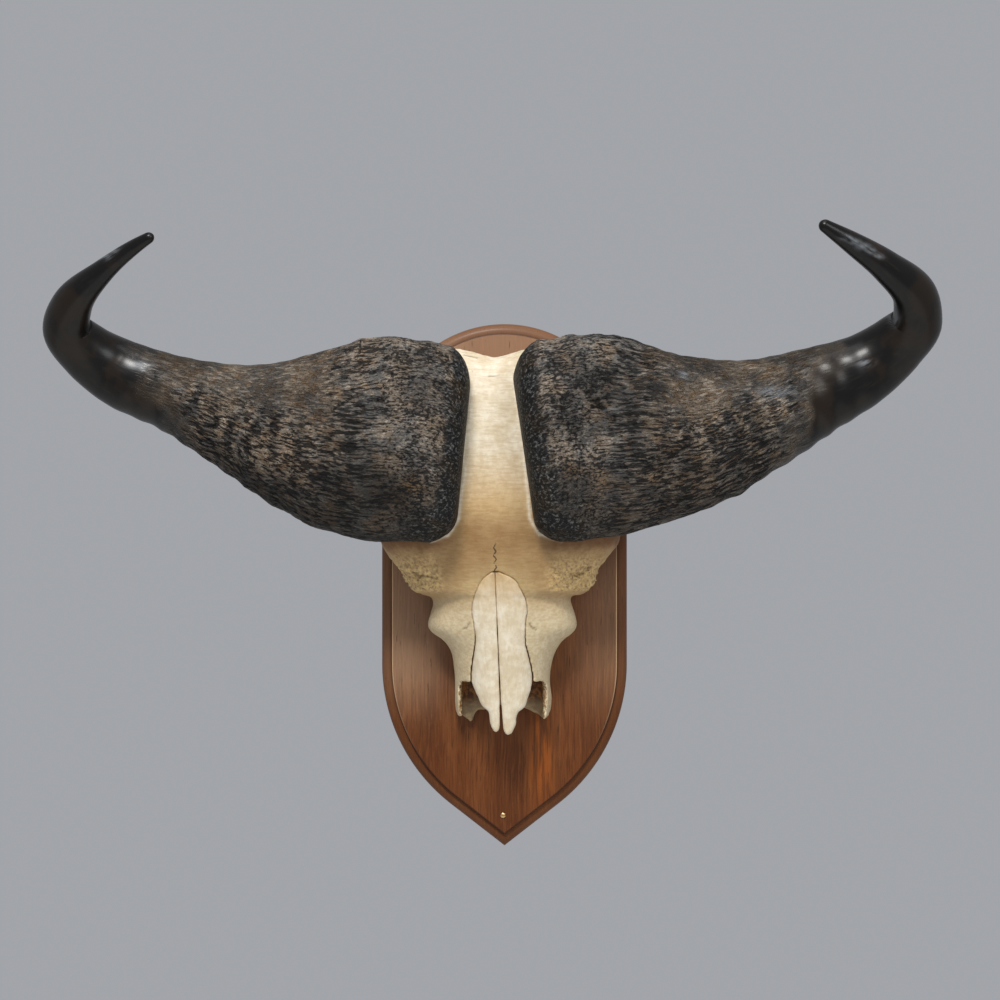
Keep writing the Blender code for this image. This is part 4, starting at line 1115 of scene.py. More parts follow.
@dataclass
class SkullCap:
    """The sawn skull cap: forehead, brow, eye sockets, cheeks, open nose and palate.

    Each row is (height, left edge, right edge, crown stand-off, stand-off of the widest level, fullness,
    share of the half width left at the foot, stand-off of the back where it isn't the usual one), in mm.
    """

    back: float = 22.35
    rows: tuple[Row, ...] = (
        (-160.0, -50.0, 46.0, 84.8, 33.0, 2.2, 0.94),
        (-149.0, -50.5, 47.0, 86.5, 33.0, 2.2, 0.94),
        (-142.0, -52.0, 48.5, 87.6, 34.0, 2.2, 0.95),
        (-124.0, -53.5, 51.3, 90.4, 36.0, 2.2, 0.96),
        (-103.0, -53.5, 49.3, 93.6, 38.0, 2.2, 0.98),
        (-88.0, -54.8, 50.4, 96.0, 39.0, 2.2, 0.98),
        (-68.0, -60.0, 57.8, 99.5, 43.0, 2.1, 0.97),
        (-59.0, -67.5, 64.0, 101.0, 46.0, 2.0, 0.95),
        (-51.0, -78.5, 74.0, 102.3, 49.0, 1.9, 0.92),
        (-43.0, -82.7, 78.3, 103.5, 50.0, 1.9, 0.90),
        (-30.0, -79.5, 75.8, 105.5, 51.0, 1.9, 0.92),
        (-20.0, -77.3, 72.5, 107.0, 52.0, 1.9, 0.94),
        (-11.5, -80.0, 71.5, 108.5, 54.0, 1.9, 0.94),
        (-8.5, -94.0, 84.5, 109.2, 57.0, 1.95, 0.88),
        (-3.0, -100.5, 93.5, 110.2, 58.0, 2.0, 0.85),
        (5.0, -105.5, 97.0, 111.5, 59.0, 2.0, 0.82),
        (17.0, -113.0, 101.5, 114.0, 60.0, 2.05, 0.80),
        (31.0, -124.0, 111.0, 117.0, 60.0, 2.1, 0.78),
        (48.0, -133.0, 123.5, 121.0, 60.0, 2.25, 0.76),
        (70.0, -134.0, 125.0, 125.0, 62.0, 2.5, 0.72),
        (100.0, -128.0, 119.0, 127.3, 65.0, 2.8, 0.70),
        (140.0, -122.0, 113.0, 127.0, 68.0, 3.0, 0.72),
        (180.0, -117.0, 108.0, 124.5, 70.0, 2.9, 0.76),
        (212.0, -111.0, 102.0, 118.5, 72.0, 2.6, 0.80),
        (229.0, -103.0, 94.0, 111.5, 73.0, 2.4, 0.84, 27.0),
        (238.0, -90.0, 81.0, 103.5, 74.0, 2.3, 0.88, 40.0),
        (243.0, -66.0, 55.0, 93.0, 74.0, 2.2, 0.92, 58.0),
    )
    foot: float = -151.0
    top: float = 243.0
    spacing: float = 4.0
    half_points: int = 60
    crest_start: float = 190.0
    crest_line: tuple[Point, ...] = (
        (0.0, 0.0), (5.0, 0.3), (14.0, 3.0), (27.0, 7.0), (41.0, 10.5), (52.0, 9.0), (90.0, 3.0))
    midline_knots: tuple[Point, ...] = ((-158.0, -3.0), (17.0, -10.3), (250.0, -11.0))
    voxel: float = 1.75
    relax_rounds: int = 3
    broad_pitch: float = 36.0
    small_pitch: float = 11.0
    fine_pitch: Row = (9.0, 4.2, 3.0)
    lobe_pitch: Row = (30.0, 30.0, 5.5)
    cavity_rows: tuple[Row, ...] = (
        (-175.0, -46.0, 41.5, 32.0), (-103.0, -46.0, 41.5, 33.0), (-70.0, -43.0, 35.0, 36.0),
        (-50.0, -38.0, 27.0, 42.0), (-36.0, -28.0, 16.0, 56.0), (-29.0, -17.0, 3.0, 74.0))
    wall: float = 5.2
    cavity_corner: float = 9.0
    incisure_top: float = -103.0
    incisure_sides: Point = (-44.5, 40.0)
    incisure_stand_off: float = 52.0
    incisure_flare: float = 42.0
    incisure_corner: float = 9.0
    notch_centre: Point = (-3.0, -172.0)
    notch_radii: Point = (33.0, 41.0)
    below: float = -175.0
    above: float = 275.0
    in_front: float = -130.0
    orbits: tuple[Point, ...] = ((-124.0, 18.0), (116.0, 20.0))
    orbit_stand_off: float = 20.0
    orbit_radii: Row = (47.0, 31.0, 29.0)
    foramina: tuple[Point, ...] = ((-91.0, 10.0), (77.0, 10.5))
    foramen_radii: Row = (4.5, 5.0, 2.2)
    foot_line: tuple[Point, ...] = (
        (-60.0, -133.0), (-52.5, -137.0), (-49.5, -142.5), (-46.0, -141.0), (-42.0, -145.0), (-36.5, -149.5),
        (-34.0, -147.0), (-33.0, -141.0), (-29.0, -136.0), (22.0, -134.0), (30.0, -138.0), (37.0, -141.0),
        (41.5, -144.5), (46.5, -142.0), (49.5, -136.0), (56.0, -132.0))
    cracks: tuple[Cut, ...] = (
        (0.9, 0.7, ((-45.0, -45.5), (-40.5, -44.0), (-38.0, -38.5))),
        (0.9, 0.8, ((26.5, -39.0), (29.0, -43.5), (34.0, -46.0))),
        (1.0, 0.9, ((-99.0, 14.0), (-91.0, 10.5), (-84.0, 11.0), (-72.0, 8.0))),
        (1.2, 1.3, ((70.5, 12.5), (76.0, 11.0), (80.0, 13.0), (84.0, 13.5))),
        (0.9, 1.0, ((84.0, 17.5), (89.0, 17.0), (93.0, 19.5))),
        (0.7, 0.25, ((-43.0, 245.0), (-29.0, 241.5))),
        (0.6, 0.15, ((-17.0, 221.5), (-5.5, 222.5))))
    contacts: tuple[tuple[Point, ...], ...] = (
        ((-57.8, 250.8), (-42.1, 232.0), (-38.4, 211.0), (-36.7, 180.6), (-39.5, 162.8), (-43.7, 138.7),
         (-42.1, 120.9), (-45.8, 96.8), (-48.9, 71.7), (-59.4, 54.9), (-77.0, 48.7)),
        ((26.5, 248.7), (18.1, 238.8), (11.4, 218.3), (11.9, 199.5), (14.5, 180.6), (17.1, 162.8),
         (20.2, 138.7), (24.0, 103.1), (26.5, 71.7), (37.0, 56.0), (60.0, 49.7)))
    seed: int = 41

    def __post_init__(self) -> None:
        """Keeps the rows as a table, each with its stand-off of the back."""
        self.table = np.array([(*row, self.back)[:8] for row in self.rows])

    def columns(self, height: Array | float) -> list[Any]:
        """Left, right, crown, level, fullness, foot share and back at a height in mm."""
        return [smooth(self.table[:, 0], self.table[:, k], height) for k in range(1, 8)]

    def midline(self, height: Array | float) -> Any:
        """x of the skull's middle at a height in mm."""
        return np.interp(height, *np.array(self.midline_knots).T)

    def vault(self, x: Array | float, height: Array | float) -> Any:
        """Stand-off of the bone's outer face.

        Args:
            x: in mm.
            height: in mm.

        Returns:
            The stand-off in mm.
        """
        left, right, crown, level, fullness, _, _ = self.columns(height)
        middle = self.midline(height)
        half = np.where(x > middle, right - middle, middle - left)
        share = np.clip(np.abs(x - middle) / half, 0.0, 1.0)
        return level + (crown - level) * (1.0 - share**fullness) ** (1.0 / fullness)

    def half_section(self, edge: float, middle: float, column: list[float]) -> Array:
        """One side of a section, from the back to the crown.

        Args:
            edge: x of its outer edge.
            middle: x of the midline.
            column: what columns gives at this height.

        Returns:
            Rows of x and stand-off, in mm.
        """
        _, _, crown, level, fullness, foot, back = column
        t = np.linspace(0.0, 1.0, 12, endpoint=False)
        half, power = edge - middle, 2.0 / fullness
        wall = np.column_stack((edge - half * (1.0 - foot) * (1.0 - t) ** 2, back + (level - back) * t))
        angle = np.linspace(0.0, math.pi / 2.0, 90)
        over = np.column_stack((middle + half * np.clip(np.cos(angle), 0.0, 1.0) ** power,
                                level + (crown - level) * np.sin(angle) ** power))
        return along_line(np.vstack((wall, over)), np.linspace(0.0, 1.0, self.half_points))

    def ring(self, height: float) -> Array:
        """One section of the whole cap.

        Args:
            height: in mm.

        Returns:
            Its points, in mm.
        """
        column = [float(c) for c in self.columns(height)]
        middle = float(self.midline(height))
        right = self.half_section(column[1], middle, column)
        left = self.half_section(column[0], middle, column)[::-1]
        back = left[-1] + (right[0] - left[-1]) * np.linspace(0.0, 1.0, 22)[1:-1, None]
        flat = np.vstack((right, left[1:], back))
        share = min(max((height - self.crest_start) / (self.top - self.crest_start), 0.0), 1.0)
        rise = np.interp(np.abs(flat[:, 0] - middle), *np.array(self.crest_line).T)
        return np.column_stack((flat[:, 0], -flat[:, 1], height + rise * share))

    @staticmethod
    def strip(name: str, heights: Sequence[float], section: Callable[[float], Section]) -> Piece:
        """A cutter made of sections.

        Args:
            name: the cutter's name.
            heights: where the sections lie, in mm.
            section: gives x, the near stand-off and the far one at a height, in mm.

        Returns:
            The cutter.
        """
        rings = []
        for height in heights:
            x, near, far = section(height)
            ring = np.vstack((np.column_stack((x, -near)), np.column_stack((x, -far))[::-1]))
            rings.append(np.column_stack((ring, np.full(len(ring), height))))
        return new_object(name, ring_mesh(name, rings))

    def cavity(self) -> Piece:
        """The hollow behind the nasal bones, open at the foot of the face.

        Returns:
            The cutter.
        """
        table = np.array(self.cavity_rows)

        def section(height: float) -> Section:
            """One section of the hollow.

            Args:
                height: in mm.

            Returns:
                x, floor and roof, in mm.
            """
            left, right, floor = (float(np.interp(height, table[:, 0], table[:, k])) for k in (1, 2, 3))
            x = np.linspace(left, right, 25)
            inside = np.minimum(np.minimum(x - left, right - x), self.cavity_corner)
            roof = self.vault(x, height) - self.wall
            return x, np.minimum(floor + end_round(inside, self.cavity_corner), roof - self.wall), roof

        return self.strip("nasal_cavity", np.linspace(table[0, 0], table[-1, 0], 40), section)

    def bed(self, nasal: "NasalBones") -> Piece:
        """The space that both nasal bones fill, with its margin, open to the front.

        Args:
            nasal: the two bones.

        Returns:
            The cutter.
        """

        def section(height: float) -> Section:
            """One section of the bed.

            Args:
                height: in mm.

            Returns:
                x, the floor, and a lid well in front of the bone, in mm.
            """
            left, right = nasal.edges(height)
            margin = nasal.margin(height)
            x = np.linspace(left - margin, right + margin, 15)
            face = self.vault(x, height)
            return x, face - nasal.thickness - 1.0, face + 12.0

        heights = np.concatenate(([nasal.rows[0][0] - 12.0], nasal.heights(2.5), [nasal.rows[-1][0] + 0.8]))
        return self.strip("nasal_bed", heights, section)

    def beyond(self, name: str, line: Array, end: float, rough: float) -> Piece:
        """A cutter for what is broken away beyond a ragged edge.

        Args:
            name: the cutter's name.
            line: points (x, z) of the edge, in mm.
            end: height of the cutter's far side, in mm.
            rough: how ragged the edge is, in mm.

        Returns:
            The cutter.
        """
        x = np.linspace(line[0, 0], line[-1, 0], 90)
        ragged = Grain(self.seed + 5).layered(np.column_stack((x / 5.0, x * 0.0, x * 0.0)), 2) * rough
        z = np.concatenate((np.interp(x, line[:, 0], line[:, 1]) + ragged, np.full(len(x), end)))
        return lofted(name, [(y, np.concatenate((x, x[::-1])), z) for y in (self.in_front, -15.0)])

    def above_crest(self) -> Piece:
        """What is missing above the hollow top edge of the forehead."""
        half = np.array(self.crest_line) + (0.0, self.top)
        line = np.vstack((half[::-1] * (-1.0, 1.0), half[1:])) + (float(self.midline(self.top)), 0.0)
        return self.beyond("above_crest", line, self.above, 0.7)

    def incisure(self) -> Piece:
        """The open front of the hollow beside and below the free nasal tips.

        Returns:
            The cutter.
        """
        low, high = self.incisure_sides
        middle, half = (low + high) / 2.0, (high - low) / 2.0
        corner = self.incisure_corner
        arc = np.linspace(0.0, math.pi, 26)
        bend = corner * np.cos(arc) + (half - corner) * np.sign(np.cos(arc))
        x = np.concatenate((middle + bend, [low, high]))
        z = np.concatenate((self.incisure_top - corner + corner * np.sin(arc), [self.below, self.below]))
        ends = ((self.in_front, self.incisure_flare), (-self.incisure_stand_off, 0.0))
        return lofted("incisure", [(y, middle + (x - middle) * (1.0 + flare / half), z) for y, flare in ends])

    def notch(self) -> Piece:
        """The rounded notch in the free edge of the palate.

        Returns:
            The cutter.
        """
        angle = np.linspace(0.0, 2.0 * math.pi, 48, endpoint=False)
        x = self.notch_centre[0] + self.notch_radii[0] * np.cos(angle)
        z = self.notch_centre[1] + self.notch_radii[1] * np.sin(angle)
        return lofted("palate_notch", [(y, x, z) for y in (5.0, -60.0)])

    @staticmethod
    def ball(name: str, centre: Row, radii: Row) -> Piece:
        """An ellipsoid.

        Args:
            name: the cutter's name.
            centre: in mm.
            radii: along each axis, in mm.

        Returns:
            The cutter.
        """
        bm = bmesh.new()
        bmesh.ops.create_uvsphere(bm, u_segments=32, v_segments=20, radius=1.0)
        bmesh.ops.scale(bm, vec=Vector(radii) * MM, verts=bm.verts)
        bmesh.ops.translate(bm, vec=Vector(centre) * MM, verts=bm.verts)
        return new_object(name, made_mesh(name, bm))

    def carved(self, nasal: "NasalBones") -> Mesh:
        """The cap with its hollows cut, remade as an even skin and relaxed.

        Args:
            nasal: the bones whose bed is cut.

        Returns:
            The mesh, in metres.
        """
        heights = np.linspace(self.foot, self.top, int((self.top - self.foot) / self.spacing))
        skull = new_object("skull", ring_mesh("skull", [self.ring(height) for height in heights]))
        tools = [self.bed(nasal), self.cavity(), self.incisure(), self.notch(), self.above_crest(),
                 self.beyond("below_foot", np.array(self.foot_line), self.below, 1.3)]
        tools += [self.ball(f"orbit_{k}", (x, -self.orbit_stand_off, z), self.orbit_radii)
                  for k, (x, z) in enumerate(self.orbits)]
        tools += [self.ball(f"foramen_{k}", (x, -float(self.vault(x, z)), z), self.foramen_radii)
                  for k, (x, z) in enumerate(self.foramina)]
        cut_away(skull, tools)
        even = skull.modifiers.new("even skin", "REMESH")
        even.mode = "VOXEL"
        even.voxel_size = self.voxel * MM
        even.use_smooth_shade = True
        relax = skull.modifiers.new("relax", "SMOOTH")
        relax.factor = 0.5
        relax.iterations = self.relax_rounds
        return baked(skull, *tools)

    def weather(self, mesh: Mesh, nasal: "NasalBones") -> None:
        """Gives the even skin its rugged brow, cracks, seams and unevenness, and paints it for its finish.

        Args:
            mesh: the carved cap.
            nasal: the bones in their bed.
        """
        points, normals = surface(mesh)
        x, stand_off, z = points[:, 0], -points[:, 1], points[:, 2]
        off = np.abs(x - self.midline(z))
        sunk = self.vault(x, z) - stand_off
        outer = smoothstep(5.0, 2.0, sunk) * smoothstep(self.back + 1.0, self.back + 8.0, stand_off)
        broad = Grain(self.seed).layered(points / self.broad_pitch, 2)
        small = Grain(self.seed + 1).layered(points / self.small_pitch, 3)
        fine = Grain(self.seed + 2).layered(points / self.fine_pitch, 2, 0.6)
        lobes = Grain(self.seed + 3).layered(points / self.lobe_pitch, 2, 0.6) * smoothstep(66.0, 84.0, off)
        brow = smoothstep(-9.0, -1.0, z) * smoothstep(42.0, 22.0, z) * smoothstep(48.0, 70.0, off)
        ledge = smoothstep(24.0, 12.0, z) * brow
        height = 0.55 * broad + 0.16 * small * outer
        height += (1.5 * small + 1.0 * fine) * brow + 1.8 * fine * ledge
        height += 2.6 * lobes * smoothstep(-14.0, -8.0, z) * smoothstep(30.0, 16.0, z)
        height += 1.1 * small * smoothstep(234.0, 242.0, z)
        height -= 2.2 * (bump_at(-35.0, 26.0, z) * bump_at(46.0, 17.0, off)) * outer
        contact = np.minimum(*(line_distance(x + 1.4 * small, z + fine, line) for line in self.contacts))
        near_horn = bump_at(0.0, 1.9, contact) * outer
        height += (0.9 + 0.8 * small) * near_horn
        heights = np.linspace(-96.0, nasal.rows[-1][0], 48)
        borders = [[(nasal.edges(h)[k], h) for h in heights] for k in (0, 1)]
        border = np.minimum(*(line_distance(x + 0.5 * small, z, line) for line in borders))
        seam = bump_at(0.0, 0.7, border) * outer * (0.30 + 0.70 * smoothstep(-40.0, -62.0, z))
        height -= 0.3 * seam
        crack = np.zeros(len(x))
        for width, depth, line in self.cracks:
            cut = bump_at(0.0, width, line_distance(x, z + 0.5 * small, line)) * outer
            height -= depth * cut
            crack = np.maximum(crack, cut)
        lip = smoothstep(self.incisure_top + 6.0, self.incisure_top - 2.0, z) * (off > 34.0)
        lip = lip * smoothstep(0.6, 1.8, sunk) * smoothstep(46.0, 50.0, stand_off)
        height += 1.6 * fine * lip
        raise_skin(mesh, points, normals, height * smoothstep(self.back + 0.6, self.back + 2.5, stand_off))
        # under marks the rust-brown band below the horns; inside marks the sunken hollow of the nose, painted
        # dark as stain and painted shade.
        paint(mesh, under=smoothstep(34.0, 46.0, z + 6.0 * small) * smoothstep(44.0, 66.0, off) * outer,
              bright=bump_at(0.0, 40.0, off) * bump_at(-2.0, 22.0, z) * outer,
              inside=smoothstep(1.5, 4.0, sunk) * smoothstep(-20.0, -28.0, z) * (off < 48.0),
              edge=np.maximum(lip, 0.85 * near_horn), seam=seam, crack=np.clip(crack * 1.2 - 0.1, 0.0, 1.0),
              rugged=np.clip(brow * 0.6 + ledge * 0.6, 0.0, 1.0) * outer)

    def build(self, nasal: "NasalBones", finish: Material) -> None:
        """Makes the cap and fits it in place of its solid."""
        mesh = self.carved(nasal)
        self.weather(mesh, nasal)
        fit_piece(mesh, "skull", finish)


@dataclass
class NasalBones:
    """The two nasal bones: long arched plates with free lower ends and an open suture round them.

    Each row is (height, outer edge of the left one, outer edge of the right one), in mm. Half gaps and
    margins are (height, half the gap between the bones) and (height, gap outside them).
    """

    cap: SkullCap
    rows: tuple[Row, ...] = (
        (-158.5, -9.7, 4.2), (-157.5, -11.4, 6.6), (-155.0, -13.0, 8.7), (-150.0, -14.9, 11.2),
        (-134.0, -18.5, 15.0), (-131.0, -22.4, 19.0), (-120.0, -28.0, 24.4), (-112.0, -31.4, 27.2),
        (-99.0, -35.4, 29.4), (-88.0, -34.6, 28.0), (-73.0, -32.5, 24.8), (-57.0, -30.9, 21.6),
        (-41.0, -32.5, 21.8), (-26.0, -34.6, 23.7), (-13.0, -33.0, 21.6), (-2.0, -29.0, 16.5),
        (9.0, -22.5, 8.6), (15.5, -14.0, -5.0))
    thickness: float = 5.0
    bulge: float = 1.6
    tip_lift: float = 3.0
    half_gaps: tuple[Point, ...] = (
        (-158.5, 6.2), (-157.6, 4.2), (-155.5, 2.7), (-151.0, 1.7), (-120.0, 0.7), (-60.0, 0.3),
        (-30.0, 0.12), (20.0, 0.05))
    margins: tuple[Point, ...] = ((-160.0, 1.6), (-120.0, 1.5), (-75.0, 0.7), (-50.0, -0.4), (20.0, -0.9))
    across: int = 44
    spacing: float = 1.6
    tip_steps: Row = (0.0, 0.1, 0.25, 0.5, 0.8, 1.15)
    top_steps: Row = (0.8, 0.3, 0.05)
    seed: int = 77

    def edges(self, height: float) -> Point:
        """Outer edges of both bones at a height, in mm."""
        levels, left, right = np.array(self.rows).T
        return float(smooth(levels, left, height)), float(smooth(levels, right, height))

    def margin(self, height: float) -> float:
        """Width of the open suture outside the bones at a height, in mm."""
        return float(np.interp(height, *np.array(self.margins).T))

    def heights(self, spacing: float) -> Array:
        """Even heights from the free tips to the top, in mm."""
        start, end = self.rows[0][0], self.rows[-1][0]
        return np.linspace(start, end, int((end - start) / spacing))

    def mesh(self, side: Side) -> Mesh:
        """One bone as a plate with rounded edges.

        Args:
            side: which of the two.

        Returns:
            The mesh, in metres.
        """
        ragged = Grain(self.seed + int(side.value))
        start, end = self.rows[0][0], self.rows[-1][0]
        heights = np.concatenate((start + np.array(self.tip_steps), self.heights(self.spacing)[1:-1],
                                  end - np.array(self.top_steps)))
        lift = self.tip_lift if side is Side.LEFT else 0.0
        u = (1.0 - np.cos(np.linspace(0.0, math.pi, self.across))) / 2.0
        rings, seams = [], []
        for height in np.sort(heights):
            wiggle = float(ragged.layered(np.array([[height / 5.0, 0.0, 0.0]]), 2)[0])
            outer = self.edges(height)[0 if side is Side.LEFT else 1] + side.value * 0.45 * wiggle
            gap = float(np.interp(height, *np.array(self.half_gaps).T))
            inner = float(self.cap.midline(height)) + side.value * gap + 0.12 * wiggle * side.value
            x = inner + (outer - inner) * u
            sink = 0.35 - 0.27 * float(smoothstep(-60.0, -20.0, height))
            crown = self.cap.vault(x, height) + self.bulge * (np.sin(math.pi * u) ** 0.8 - sink)
            crispness = 7.0 + 13.0 * float(smoothstep(-90.0, -50.0, height))
            half = self.thickness / 2.0 * np.clip(1.0 - np.abs(2.0 * u - 1.0) ** crispness, 0.0, 1.0) ** 0.5
            near_tip = min((height - start) / 4.0, 1.0)
            half = half * (0.35 + 0.65 * math.sqrt(max(1.0 - (1.0 - near_tip) ** 2, 0.0)))
            middle = crown - self.thickness / 2.0
            z = np.full(len(x), height + lift * min(max((-100.0 - height) / 58.0, 0.0), 1.0))
            upper = np.column_stack((x, -(middle + half), z))
            lower = np.column_stack((x, -(middle - half), z))[::-1][1:-1]
            rings.append(np.vstack((upper, lower)))
            closed = float(smoothstep(-110.0, -80.0, height))
            seams.append(bump_at(0.0, 0.8, rings[-1][:, 0] - outer) * closed)
        mesh = ring_mesh(f"nasal_{side.word}", rings)
        paint(mesh, seam=np.concatenate((*seams, [0.0, 1.0])))
        points, normals = surface(mesh)
        uneven = Grain(self.seed + 3).layered(points / 19.0, 2) * 0.35
        uneven += Grain(self.seed + 4).layered(points / (4.0, 4.0, 12.0), 2) * 0.08
        raise_skin(mesh, points, normals, uneven)
        return mesh

    def build(self, finish: Material) -> None:
        """Makes both bones and fits them in place of their solids."""
        for side in Side:
            fit_piece(self.mesh(side), f"nasal_{side.word}", finish)


@dataclass
class Plaque:
    """The shield: arched top, straight sides, two foot arcs and a point, with a moulded edge."""

    half_width: float = 134.0
    arch_height: float = 150.2
    foot_height: float = -87.7
    foot_radius: float = 194.0
    foot_angle: float = math.radians(52.2)
    thickness: float = 22.0
    edge: float = 9.0
    rise: float = 8.0
    width: float = 9.5
    quirk: float = 1.5
    arris: float = 1.0
    hanger_height: float = 228.0
    recess: Row = (84.0, 26.0, 5.0)
    recess_corner: float = 6.0
    screws: tuple[Point, ...] = ((-52.0, 165.0), (46.0, 165.0), (-8.0, 25.0))
    screw_radii: Point = (2.85, 5.15)
    screw_sink: float = 0.9
    screw_head: float = 3.6
    sharp: float = 28.0

    def outline(self, inset: float) -> Array:
        """The outline of the board.

        Args:
            inset: how far it is moved inwards, in mm.

        Returns:
            Rows of x and z, in mm.
        """
        half, foot = self.half_width - inset, self.foot_radius - inset
        top = np.linspace(0.0, math.pi, 97)
        arch = np.column_stack((half * np.cos(top), self.arch_height + half * np.sin(top)))
        side = np.linspace(self.arch_height, self.foot_height, 50)[1:-1]
        centre = self.half_width - self.foot_radius
        bend = np.linspace(0.0, self.foot_angle, 40)
        arc = np.column_stack((centre + foot * np.cos(bend), self.foot_height - foot * np.sin(bend)))
        end_x, end_z = arc[-1]
        point = np.array([0.0, end_z - end_x / math.tan(self.foot_angle)])
        run = arc[-1] + (point - arc[-1]) * np.linspace(0.0, 1.0, 26)[1:, None]
        right = np.vstack((np.column_stack((np.full(len(side), half), side)), arc, run))
        return np.vstack((arch, right[:-1] * (-1.0, 1.0), right[::-1]))

    def profile(self) -> list[Row]:
        """The section of the moulding, from the back edge to the field.

        Returns:
            Inset, stand-off, border, quirk and arris paint of each ring; the arris paint places a painted
            highlight.
        """
        back = ((0.8, 0.0), (0.25, 0.25), (0.0, 0.8), (0.0, 3.0), (0.0, 6.0))
        rows = [(inset, y, 1.0, 0.0, 0.0) for inset, y in back]
        for angle in np.linspace(0.0, math.pi / 2.0, 11):
            inset, y = self.width * (1.0 - math.cos(angle)), self.edge + self.rise * math.sin(angle)
            rows.append((inset, y, 1.0, 0.0, 0.0))
        inset, top = self.width + self.quirk, self.edge + self.rise
        return rows + [
            (inset - 0.4, top, 1.0, 0.4, 0.0), (inset, top + 0.1, 1.0, 1.0, 0.0),
            (inset + 0.15, top + 1.5, 0.8, 0.8, 0.0), (inset + 0.3, self.thickness - 1.3, 0.5, 0.1, 0.4),
            (inset + 0.55, self.thickness - 0.5, 0.1, 0.0, 1.0),
            (inset + self.arris + 0.1, self.thickness - 0.1, 0.0, 0.0, 1.0),
            (inset + self.arris + 0.8, self.thickness, 0.0, 0.0, 0.1)]

    def mesh(self) -> Mesh:
        """Builds the board with its moulding, hanger recess and screw holes.

        Returns:
            The mesh, in metres.
        """
        rows = self.profile()
        outlines = [(-stand_off, *self.outline(inset).T) for inset, stand_off, *_ in rows]
        back, field = ((y, x * 0.5, z * 0.5 + 10.0) for y, x, z in (outlines[0], outlines[-1]))
        board = lofted("plaque", [back, *outlines, field])
        around = len(outlines[0][1])
        for column, (name, behind) in enumerate((("border", 1.0), ("quirk", 0.0), ("arris", 0.0)), 2):
            shares = [behind, *(row[column] for row in rows), 0.0]
            paint(board.data, **{name: np.concatenate((np.repeat(shares, around), (behind, 0.0)))})
        holes = [self.screw_cutter(f"screw_hole_{k}", place) for k, place in enumerate(self.screws)]
        tools = [self.recess_cutter(), *holes]
        cut_away(board, tools)
        return baked(board, *tools)

    def recess_cutter(self) -> Piece:
        """The shallow pocket that takes the hanger.

        Returns:
            The cutter.
        """
        length, width, depth = self.recess
        corner = self.recess_corner
        spots = []
        for k, (sx, sz) in enumerate(((1, 1), (-1, 1), (-1, -1), (1, -1))):
            centre = np.array((0.0, self.hanger_height)) + (
                sx * (length / 2.0 - corner), sz * (width / 2.0 - corner))
            for angle in np.linspace(0.0, math.pi / 2.0, 9) + k * math.pi / 2.0:
                spots.append(centre + corner * np.array((math.cos(angle), math.sin(angle))))
        return lofted("recess", [(y, *np.array(spots).T) for y in (5.0, -depth)])

    def screw_cutter(self, name: str, place: Point) -> Piece:
        """A countersunk hole right through the board.

        Args:
            name: the cutter's name.
            place: x and z, in mm.

        Returns:
            The cutter.
        """
        shank, head = self.screw_radii
        profile = ((head, 1.0), (head, -self.screw_sink), (shank, -self.screw_sink - self.screw_head),
                   (shank, -self.thickness - 1.0))
        angle = np.linspace(0.0, 2.0 * math.pi, 32, endpoint=False)
        return lofted(name, [(y, place[0] + radius * np.cos(angle), place[1] + radius * np.sin(angle))
                             for radius, y in profile])

    def build(self, finish: Material) -> None:
        """Makes the plaque and fits it in place of its solid."""
        fit_piece(self.mesh(), "plaque", finish, self.sharp)


